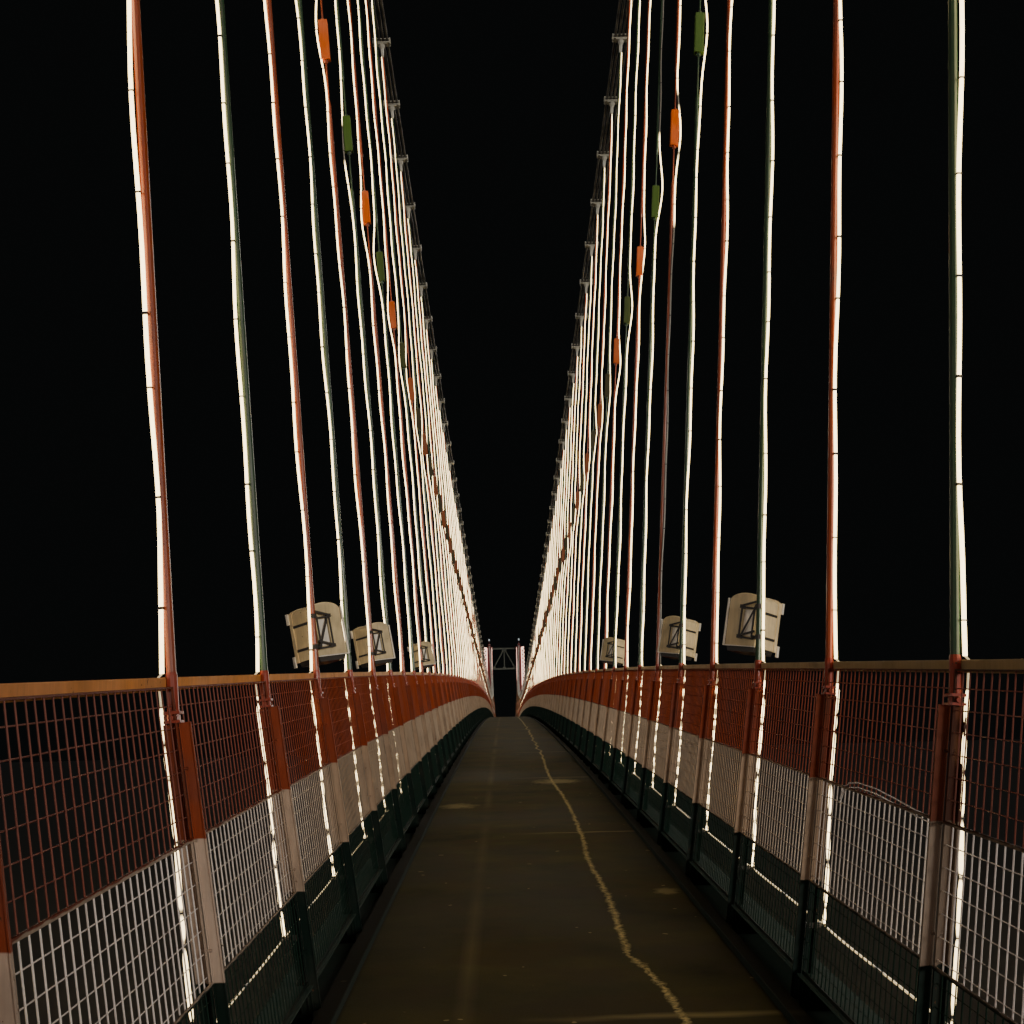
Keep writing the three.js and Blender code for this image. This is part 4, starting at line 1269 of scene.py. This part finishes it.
def housing_shell(side, number):
    """The box with its hooped ends, and two thin upright strips on its face."""
    frame_of = housing_frame(side, number)
    outline = hooped_outline()
    half, deep, tall = HOUSING[0] / 2, HOUSING[1] / 2, HOUSING[2] / 2
    parts = [slab(frame_of, outline, -deep, -deep + 0.03),
             slab(frame_of, scaled(outline, 0.96, 0.985), -deep + 0.02, deep - 0.02)]
    for across in (-0.5, 0.1):
        parts.append(strip_between(frame_of, (half * across, deep - 0.016, -tall * 0.9),
                                   (half * across, deep - 0.016, tall * 0.9), 0.008, 0.01))
    return parts


def housing_front(side, number):
    """The cover of the face that looks at the walkway, set proud of the box."""
    frame_of = housing_frame(side, number)
    deep = HOUSING[1] / 2
    return [slab(frame_of, scaled(hooped_outline(), 0.93, 0.95), deep - 0.021, deep - 0.01)]


def housing_trim(side, number):
    """Pale edges: a flange along the far upright edge, a lip under the face,
    a plate behind the bracket whose pale paint is a painted highlight, and tabs on the outer corners."""
    frame_of = housing_frame(side, number)
    half, deep, tall = HOUSING[0] / 2, HOUSING[1] / 2, HOUSING[2] / 2
    far = -side * half
    flange, lip = deep - 0.004, deep - 0.002
    # The pale plate is a painted highlight: it lightens part of the face behind the bracket.
    plate = local(frame_of, [(side * half * 0.42, deep - 0.008, 0.0)])
    parts = [strip_between(frame_of, (far * 0.99, flange, -tall), (far * 0.99, flange, tall * 1.02), 0.006, 0.012),
             strip_between(frame_of, (-half, lip, -tall * 0.985), (half, lip, -tall * 0.985), 0.01, 0.006),
             blocks(plate, (half * 0.62, 0.006, tall * 1.1), frame_of[1])]
    for level in (-0.95, 0.88):
        parts.append(blocks(local(frame_of, [(side * half + side * 0.004, -deep - 0.006, level * tall)]),
                            (0.012, 0.02, 0.07), frame_of[1]))
    return parts


def housing_fittings(side, number):
    """Straps round the box and its dark tray, and the bracket: two wedges that
    reach from the rod to the middle of the face, uprights and a brace."""
    frame_of = housing_frame(side, number)
    half, deep, tall = HOUSING[0] / 2, HOUSING[1] / 2, HOUSING[2] / 2
    parts = []
    for level in (-0.52, 0.5):
        parts.append(blocks(local(frame_of, [(0, -0.01, level * tall)]),
                            (HOUSING[0] * 0.985, HOUSING[1] - 0.07, 0.016), frame_of[1]))
    tray = [[-half * 0.9, -tall + 0.006], [half * 0.9, -tall + 0.006],
            [half * 0.8, -tall - 0.03], [-half * 0.8, -tall - 0.03]]
    parts.append(slab(frame_of, tray[::-1], -deep + 0.02, deep - 0.02))
    rod_side, far_side = side * half, side * half * 0.02
    out = deep + 0.02
    arm_low, arm_high = -0.6 * tall, 0.66 * tall
    for level in (arm_low, arm_high):
        for turn in (-1, 1):
            parts.append(strip_between(frame_of, (rod_side, out, level + 0.024 * turn + 0.012),
                                       (far_side, out, level + 0.004 * turn), 0.008, 0.012))
        for across in (rod_side * 0.94, far_side):
            on_face, on_arm = (across, deep - 0.012, level), (across, out + 0.006, level)
            parts.append(strip_between(frame_of, on_face, on_arm, 0.018, 0.022))
    for across in (rod_side * 0.86, rod_side * 0.06):
        parts.append(strip_between(frame_of, (across, out, arm_low), (across, out, arm_high), 0.007, 0.01))
    first, last = sorted((rod_side * 0.86, rod_side * 0.1))
    parts.append(strip_between(frame_of, (first, out - 0.008, arm_low), (last, out - 0.008, arm_high), 0.007, 0.01))
    height = RAIL_HEIGHT + HOUSING_LIFT + tall
    y = (FIRST_HANGER + number - 1) * PANEL
    for level in (arm_low, arm_high):
        on_rod = place(side, rod_offset(height + level), y, height + level)
        joint = local(frame_of, [(rod_side, out, level)])[0]
        parts.append(bars(np.stack([on_rod, joint])[None], rectangle(0.012, 0.024), hint=(0, 0, 1)))
        grip = np.stack([on_rod - [side * ROD_LEAN * 0.014, 0, 0.014], on_rod + [side * ROD_LEAN * 0.014, 0, 0.014]])
        parts.append(bars(grip[None], circle(8), size=0.023))
    return parts


for label, side in SIDES.items():
    nodes = [f"lamp_housing_{label}_{number}" for number in HOUSING_HANGERS]
    for kind, build, paint, slot in (("shells", housing_shell, cream_paint, "cream_sheet"),
                                     ("fronts", housing_front, olive_paint, "cream_sheet"),
                                     ("trims", housing_trim, pale_paint, "cream_sheet"),
                                     ("brackets", housing_fittings, fitting_paint, "dark_fittings")):
        parts = [part for number in HOUSING_HANGERS for part in build(side, number)]
        piece(f"housing_{kind}_{label}", parts, paint, slot, *nodes)

# %% [markdown]
# ## Towers
#
# A tower leg is a steel column built up from four corner angles and sheets
# set back between them, stiffened by level battens, and it narrows upward.
# Lines of light run up its corners. Between the legs, near the top, a truss
# of two chords, a post and two braces keeps them apart.

# %% Built-up legs
LEG_X = rod_offset(ROPE_TOP)
SLAB_THICKNESS = 0.1
FLOOR_PLATE = 0.02
CROSS_BEAM_DEPTH = 0.2
SEAT = 0.003
PIER_LEVEL = DECK_END - SLAB_THICKNESS - SEAT - FLOOR_PLATE - CROSS_BEAM_DEPTH - SEAT
LEG_BASE = PIER_LEVEL + SEAT
LEG_TOP = DECK_END + ROPE_TOP - 0.35
LEG_FOOT = np.array([1.2, 1.3])
LEG_HEAD = np.array([1.1, 1.0])
CORNER = 0.17
CORNER_SECTION = np.array([[0, 0], [CORNER, 0], [CORNER, 0.022], [0.022, 0.022], [0.022, CORNER], [0, CORNER]])


def leg_size(level):
    """Width and length of a leg at a level: an even taper from foot to head."""
    t = (np.asarray(level, float)[..., None] - LEG_BASE - 0.1) / (LEG_TOP - LEG_BASE - 0.2)
    return LEG_FOOT * (1 - t) + LEG_HEAD * t


def leg_parts(side, bank):
    """Corner angles, set-back sheets, battens, base plate and cap plate."""
    centre = np.array([side * LEG_X, bank * HALF_SPAN])
    low, high = LEG_BASE + 0.1, LEG_TOP - 0.1
    ends = np.array([low, high])
    half = leg_size(ends) / 2
    parts = []
    for sx in (-1, 1):
        for sy in (-1, 1):
            path = np.stack([centre[0] + sx * half[:, 0], centre[1] + sy * half[:, 1], ends], 1)
            section = CORNER_SECTION * [-sx, -sy]
            parts.append(bars(path[None], section if sx == sy else section[::-1], hint=(1, 0, 0)))
    inset = 0.03
    for axis, other in ((0, 1), (1, 0)):
        for sign in (-1, 1):
            corners = []
            for level, size in zip(ends, half):
                for depth in (inset, inset + 0.02):
                    for edge in (-1, 1):
                        point = np.zeros(3)
                        point[axis] = centre[axis] + sign * (size[axis] - depth)
                        point[other] = centre[other] + edge * (size[other] - 0.04)
                        point[2] = level
                        corners.append(point)
            order = [0, 1, 3, 2, 4, 5, 7, 6]
            faces = CUBE_FACES
            parts.append({"points": np.array(corners)[order], "faces": [faces],
                          "maps": [np.broadcast_to(CUBE_MAP, (6, 4, 2))]})
    for level in np.arange(low + 1.0, high - 0.4, 1.28):
        size = leg_size(level)
        for axis, other in ((0, 1), (1, 0)):
            for sign in (-1, 1):
                spot = np.array([centre[0], centre[1], level])
                spot[axis] += sign * (size[axis] / 2 - 0.008)
                wide = np.array([0.0, 0.0, 0.16])
                wide[axis], wide[other] = 0.02, size[other] - 0.12
                parts.append(blocks(spot, wide))
    base = [*centre, LEG_BASE + 0.03]
    parts.append(blocks(base, (1.5, 1.7, 0.06)))
    gusset = [[0.0, 0.0], [0.24, 0.0], [0.24, 0.03], [0.03, 0.42], [0.0, 0.42]]
    for sx in (-1, 1):
        for share in (-0.3, 0.3):
            parts.append(upright_plate(centre + [sx * 0.6, share * 1.3], LEG_BASE + 0.06, gusset, (sx * 0.6, 0), 0.03))
            parts.append(upright_plate(centre + [share * 1.2, sx * 0.65], LEG_BASE + 0.06, gusset, (0, sx * 0.8), 0.03))
    parts.append(blocks([*centre, LEG_TOP - 0.03], (1.24, 1.34, 0.06)))
    parts.append(blocks([*centre, LEG_TOP - 0.08], (1.16, 1.12, 0.04)))
    spots = np.array([[x, y] for x in (-0.67, 0.67) for y in (-0.76, -0.26, 0.26, 0.76)])
    centres = np.concatenate([centre + spots, np.full((len(spots), 1), LEG_BASE)], axis=1)
    bolt = np.stack([centres + [0, 0, 0.05], centres + [0, 0, 0.11]], 1)
    parts.append(bars(bolt, circle(6), size=0.035))
    return parts


def upright_plate(spot, level, outline, direction, thickness):
    """A plate that stands on its edge. Its outline's first number runs in the
    given level direction and its second runs up."""
    direction = unit(np.array([*direction, 0.0]))
    across = np.array([-direction[1], direction[0], 0.0])
    outline = np.asarray(outline, float)
    middle = np.array([*spot, level]) + outline[:, :1] * direction + outline[:, 1:] * [0, 0, 1]
    count = len(outline)
    index = np.arange(count)
    walls = np.stack([index, np.roll(index, -1), np.roll(index, -1) + count, index + count], 1)
    return {"points": np.concatenate([middle - across * thickness / 2, middle + across * thickness / 2]),
            "faces": [walls, np.stack([index[::-1], index + count])],
            "maps": [np.zeros((count, 4, 2)), np.zeros((2, count, 2))]}


for bank_label, bank in BANKS.items():
    for label, side in SIDES.items():
        piece(f"built_up_leg_{bank_label}_{label}", leg_parts(side, bank), tower_paint, "tower_paint",
              f"tower_leg_{bank_label}_{label}")

# %% Lines of light on the legs
for bank_label, bank in BANKS.items():
    for label, side in SIDES.items():
        parts = []
        level = np.linspace(DECK_END + 0.6, LEG_TOP - 0.12, 271)
        half = leg_size(level) / 2
        for sx in (-1, 1):
            outer = sx * side > 0
            for sy in (-1, 1):
                x = side * LEG_X + sx * (half[:, 0] - 0.11)
                y = bank * HALF_SPAN + sy * (half[:, 1] + 0.02)
                thick = 0.085 if outer else 0.032
                parts.append(bars(np.stack([x, y, level], 1)[None], circle(6), size=thick))
                if outer:
                    hung = np.stack([x + sx * (0.08 + 0.38 * np.abs(np.sin(np.pi * level / 0.68))), y, level], 1)
                    parts.append(bars(hung[None], circle(6), size=0.055))
                    flare = np.stack([[x[-1], y[-1], level[-1] - 0.05], [x[-1] + sx * 0.42, y[-1], level[-1]]])
                    parts.append(bars(flare[None], circle(6), hint=(0, 1, 0), size=0.1))
        lines = piece(f"tower_lights_{bank_label}_{label}", parts, tower_glow, "light_strip", smooth=True)
        set_lit(lines, np.ones(len(lines.data.vertices)))


# %% [markdown]
# ## Trusses, saddles and tower lamps
#
# The truss members are pairs of thin plates with gussets where they meet. A
# saddle is a casting with two cheeks, between which the ropes bend over a
# curved seat. A small lamp on a turned post stands on top of each one.

# %% Portal trusses
TRUSS_TOP = DECK_END + ROPE_TOP - 0.63
TRUSS_FOOT = TRUSS_TOP - 3.6
BOX_MEMBER = np.array([[-0.5, -0.5], [0.5, -0.5], [0.5, -0.38], [-0.34, -0.38],
                       [-0.34, 0.38], [0.5, 0.38], [0.5, 0.5], [-0.5, 0.5]])


def member(first, last, y, wide, deep):
    """Two channels, back to back with a gap, between two points across the
    bridge given as offset and level."""
    path = np.array([[first[0], y, first[1]], [last[0], y, last[1]]])[None]
    parts = []
    for turn in (-1, 1):
        section = BOX_MEMBER * [turn * deep * 0.36, wide] + [turn * deep * 0.3, 0]
        parts.append(bars(path, section[::turn], hint=(0, 1, 0)))
    return parts


for bank_label, bank in BANKS.items():
    y = bank * HALF_SPAN
    parts = []
    for level in (TRUSS_TOP, TRUSS_FOOT):
        reach = LEG_X - leg_size(level - 0.14)[0] / 2 - 0.004
        parts += member((-reach, level), (reach, level), y, 0.27, 0.26)
    reach = LEG_X - leg_size(TRUSS_FOOT)[0] / 2 - 0.12
    parts += member((0, TRUSS_FOOT), (0, TRUSS_TOP), y, 0.18, 0.16)
    for side in (-1, 1):
        parts += member((0, TRUSS_TOP), (side * reach, TRUSS_FOOT), y, 0.18, 0.18)
        parts.append(blocks([side * (reach - 0.12), y, TRUSS_FOOT + 0.16], (0.56, 0.03, 0.52)))
    parts.append(blocks([0, y, TRUSS_TOP - 0.16], (0.8, 0.03, 0.5)))
    parts.append(blocks([0, y, TRUSS_FOOT + 0.12], (0.5, 0.03, 0.42)))
    piece(f"portal_truss_{bank_label}", parts, truss_paint, "tower_paint", f"top_truss_{bank_label}")

# %% Saddles
ROPE_LEVEL = DECK_END + ROPE_TOP


def saddle_parts(side, bank):
    """Base plate, two arched cheeks with ribs, a filled seat and a cap."""
    centre = np.array([side * LEG_X, bank * HALF_SPAN])
    base = LEG_TOP + SEAT
    steps = np.linspace(1, -1, 17)
    arch = np.stack([0.6 * steps, ROPE_LEVEL + 0.03 + 0.16 * (1 - steps ** 2) - base], 1)
    cheek = np.concatenate([[[-0.6, 0.0], [0.6, 0.0]], arch])
    seat = np.concatenate([[[-0.58, 0.0], [0.58, 0.0]], arch * [0.965, 1.0] - [0, 0.035]])
    parts = [upright_plate(centre + [shift, 0], base, cheek, (0, 1), 0.03) for shift in (-0.185, 0.185)]
    parts.append(upright_plate(centre, base, seat, (0, 1), 0.34))
    parts.append(blocks([*centre, base + 0.02], (0.5, 1.3, 0.04)))
    for along in (-0.42, -0.14, 0.14, 0.42):
        for across in (-0.215, 0.215):
            parts.append(blocks([centre[0] + across, centre[1] + along, base + 0.17], (0.03, 0.03, 0.3)))
    for along in (-0.5, -0.25, 0.25, 0.5):
        rise = ROPE_LEVEL + 0.03 + 0.16 * (1 - (along / 0.6) ** 2)
        parts.append(blocks([centre[0], centre[1] + along, rise], (0.4, 0.06, 0.025)))
    return parts


globe_glass = enamel_paint("frosted_globe", (0.5, 0.52, 0.5), under=(0.3, 0.3, 0.28), chips=0.1, dirt=0.5, shine=0.2)
globe_shader = globe_glass.node_tree.nodes["Principled BSDF"]
globe_shader.inputs["Emission Color"].default_value = rgb(0.6, 0.74, 0.82)
globe_shader.inputs["Emission Strength"].default_value = 0.4
LAMP_POST = [[0.001, -0.05], [0.09, -0.05], [0.09, 0.04], [0.055, 0.06], [0.035, 0.1], [0.03, 0.3],
             [0.042, 0.32], [0.03, 0.34], [0.032, 0.5], [0.06, 0.53], [0.07, 0.56], [0.001, 0.565]]
LAMP_GLOBE = [[0.001, 0.556], [0.07, 0.562], [0.105, 0.6], [0.125, 0.66], [0.13, 0.74], [0.13, 0.8],
              [0.12, 0.86], [0.095, 0.91], [0.06, 0.94], [0.035, 0.955], [0.02, 0.975], [0.001, 0.98]]
for bank_label, bank in BANKS.items():
    for label, side in SIDES.items():
        node_name = f"saddle_{bank_label}_{label}"
        crown = [side * LEG_X, bank * HALF_SPAN, ROPE_LEVEL + 0.19]
        parts = saddle_parts(side, bank) + [lathe(crown, LAMP_POST, 20)]
        piece(f"saddle_casting_{bank_label}_{label}", parts, tower_paint, "tower_paint", node_name)
        piece(f"tower_lamp_{bank_label}_{label}", lathe(crown, LAMP_GLOBE, 24), globe_glass,
              "light_strip", node_name, smooth=True)

# %% [markdown]
# ## Backstays
#
# Behind each tower the same four ropes run down to the anchor block, where
# each ends in a socket on a steel plate.

# %% Backstays and their sockets
BACKSTAY_REACH = 30.0
for bank_label, bank in BANKS.items():
    for label, side in SIDES.items():
        t = np.linspace(0, 1, 25)
        y = bank * (HALF_SPAN + SADDLE_HALF + t * (BACKSTAY_REACH - SADDLE_HALF))
        z = (ROPE_LEVEL - 0.2) * (1 - t) + (DECK_END + 0.9) * t - 0.25 * np.sin(np.pi * t)
        rows = np.stack([np.stack([np.full_like(y, side * LEG_X + shift), y, z], 1)
                         for shift in ROPE_PLACES])
        piece(f"backstay_ropes_{bank_label}_{label}", bars(rows, circle(12), size=ROPE_RADIUS),
              rope_steel, "wire_rope", f"backstay_{bank_label}_{label}", smooth=True)
        face = bank * (HALF_SPAN + BACKSTAY_REACH)
        slope = unit(rows[:, -1] - rows[:, -2])
        sockets = np.stack([rows[:, -1] - slope * reach for reach in (1.1, 1.05, 0.7, 0.1, 0.02)], 1)
        sizes = np.broadcast_to([0.026, 0.03, 0.036, 0.034, 0.034], sockets.shape[:2])
        parts = [bars(sockets, circle(10), size=sizes),
                 blocks([side * LEG_X, face - bank * 0.02, DECK_END + 0.9], (0.7, 0.035, 0.6))]
        for dx in (-0.29, 0.29):
            for dz in (-0.23, 0.23):
                spot = np.array([side * LEG_X + dx, face - bank * 0.03, DECK_END + 0.9 + dz])
                parts.append(bars(np.stack([spot, spot - [0, bank * 0.06, 0]])[None], circle(6), size=0.03))
        piece(f"anchor_plate_{bank_label}_{label}", parts, clamp_steel, "dark_fittings",
              f"backstay_{bank_label}_{label}")

# %% [markdown]
# ## Floor and light
#
# The bridge stands on a plain pale floor, and the backdrop is dark ahead of
# the walker, so that the strips of light read as light, and a dim grey low on
# the other sides, where it shows the ropes. The studio light is soft and warm.
# Its key comes low from behind the eye, on the right. A photographer would hold
# boards between the key and the floor. Blender does the same by light linking:
# each lamp has a collection of the objects that it lights or leaves out.

# %% Studio
floor_mesh = bpy.data.meshes.new("studio_floor")
FLOOR_REACH = 150.0
corners = [(x * FLOOR_REACH, y * FLOOR_REACH, 0) for x, y in ((-1, -1), (1, -1), (1, 1), (-1, 1))]
floor_mesh.from_pydata(corners, [], [(0, 1, 2, 3)])
floor = bpy.data.objects.new("studio_floor", floor_mesh)
bpy.context.scene.collection.objects.link(floor)
floor_material, _, floor_shader = new_material("studio_floor")
floor_shader.inputs["Base Color"].default_value = rgb(0.38, 0.375, 0.365)
floor_shader.inputs["Roughness"].default_value = 0.9
floor_mesh.materials.append(floor_material)

world = bpy.data.worlds.new("studio")
world.use_nodes = True
sky = world.node_tree
background = sky.nodes["Background"]
background.inputs["Strength"].default_value = 1.0
direction = node(sky, "ShaderNodeTexCoord").outputs["Generated"]
toward = node(sky, "ShaderNodeSeparateXYZ", {0: direction}).outputs
off_walk = math_node(sky, "SUBTRACT", 1.0, ramp(sky, toward["Y"], 0.45, 0.75))
climb = ramp(sky, math_node(sky, "ABSOLUTE", toward["Z"]), 0.08, 0.4)
low_band = math_node(sky, "MULTIPLY", off_walk, math_node(sky, "SUBTRACT", 1.0, climb))
backdrop = blend(sky, low_band, rgb(0.003, 0.0034, 0.0034), rgb(0.06, 0.063, 0.066))
sky.links.new(backdrop, background.inputs["Color"])
bpy.context.scene.world = world

# %% What each lamp lights
OUTER_PIECES = ("ropes_", "rope_clamps", "edge_girder", "built_up_leg", "portal_truss", "saddle_casting",
                "backstay_ropes", "anchor_plate", "pier_", "anchor_block_", "floor_frame_")


def lit_objects(name, objects, state="INCLUDE"):
    """A collection that a lamp lights and nothing else, or that it leaves out."""
    group = bpy.data.collections.new(name)
    for lit in objects:
        group.objects.link(lit)
    for entry in group.collection_objects:
        entry.light_linking.link_state = state
    return group


all_but_floor = lit_objects("all_but_floor", [floor], "EXCLUDE")
floor_alone = lit_objects("floor_alone", [floor])
outer = [bpy.data.objects[name] for name in made if name.startswith(OUTER_PIECES)]
outer += [solid for name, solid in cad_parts.items() if name.startswith(OUTER_PIECES)]
outer_alone = lit_objects("outer_alone", outer)
print("pieces lit from outside:", len(outer))


# %% Lamps
def sun(name, strength, spread, turn, colour, lights):
    """A sun lamp with a wide disc, which gives soft shadows."""
    data = bpy.data.lights.new(name, "SUN")
    data.energy = strength
    data.angle = np.radians(spread)
    data.color = colour
    lamp = bpy.data.objects.new(name, data)
    lamp.rotation_euler = [np.radians(angle) for angle in turn]
    lamp.light_linking.receiver_collection = lights
    bpy.context.scene.collection.objects.link(lamp)


WARM = (1.0, 0.92, 0.82)
sun("key", 1.85, 20, (85, 0, 38), WARM, all_but_floor)
sun("fill", 0.5, 30, (86, 0, -60), WARM, all_but_floor)
sun("top", 0.05, 50, (25, 0, 20), WARM, all_but_floor)
sun("back", 0.5, 30, (80, 0, 172), WARM, all_but_floor)
sun("right_side", 1.1, 40, (55, 0, 90), WARM, outer_alone)
sun("left_side", 1.1, 40, (55, 0, -90), WARM, outer_alone)
sun("floor_pool", 0.034, 40, (20, 0, 30), WARM, floor_alone)

# %% Sizes and finish
print("triangles added:", sum(made.values()), "in", len(made), "pieces")
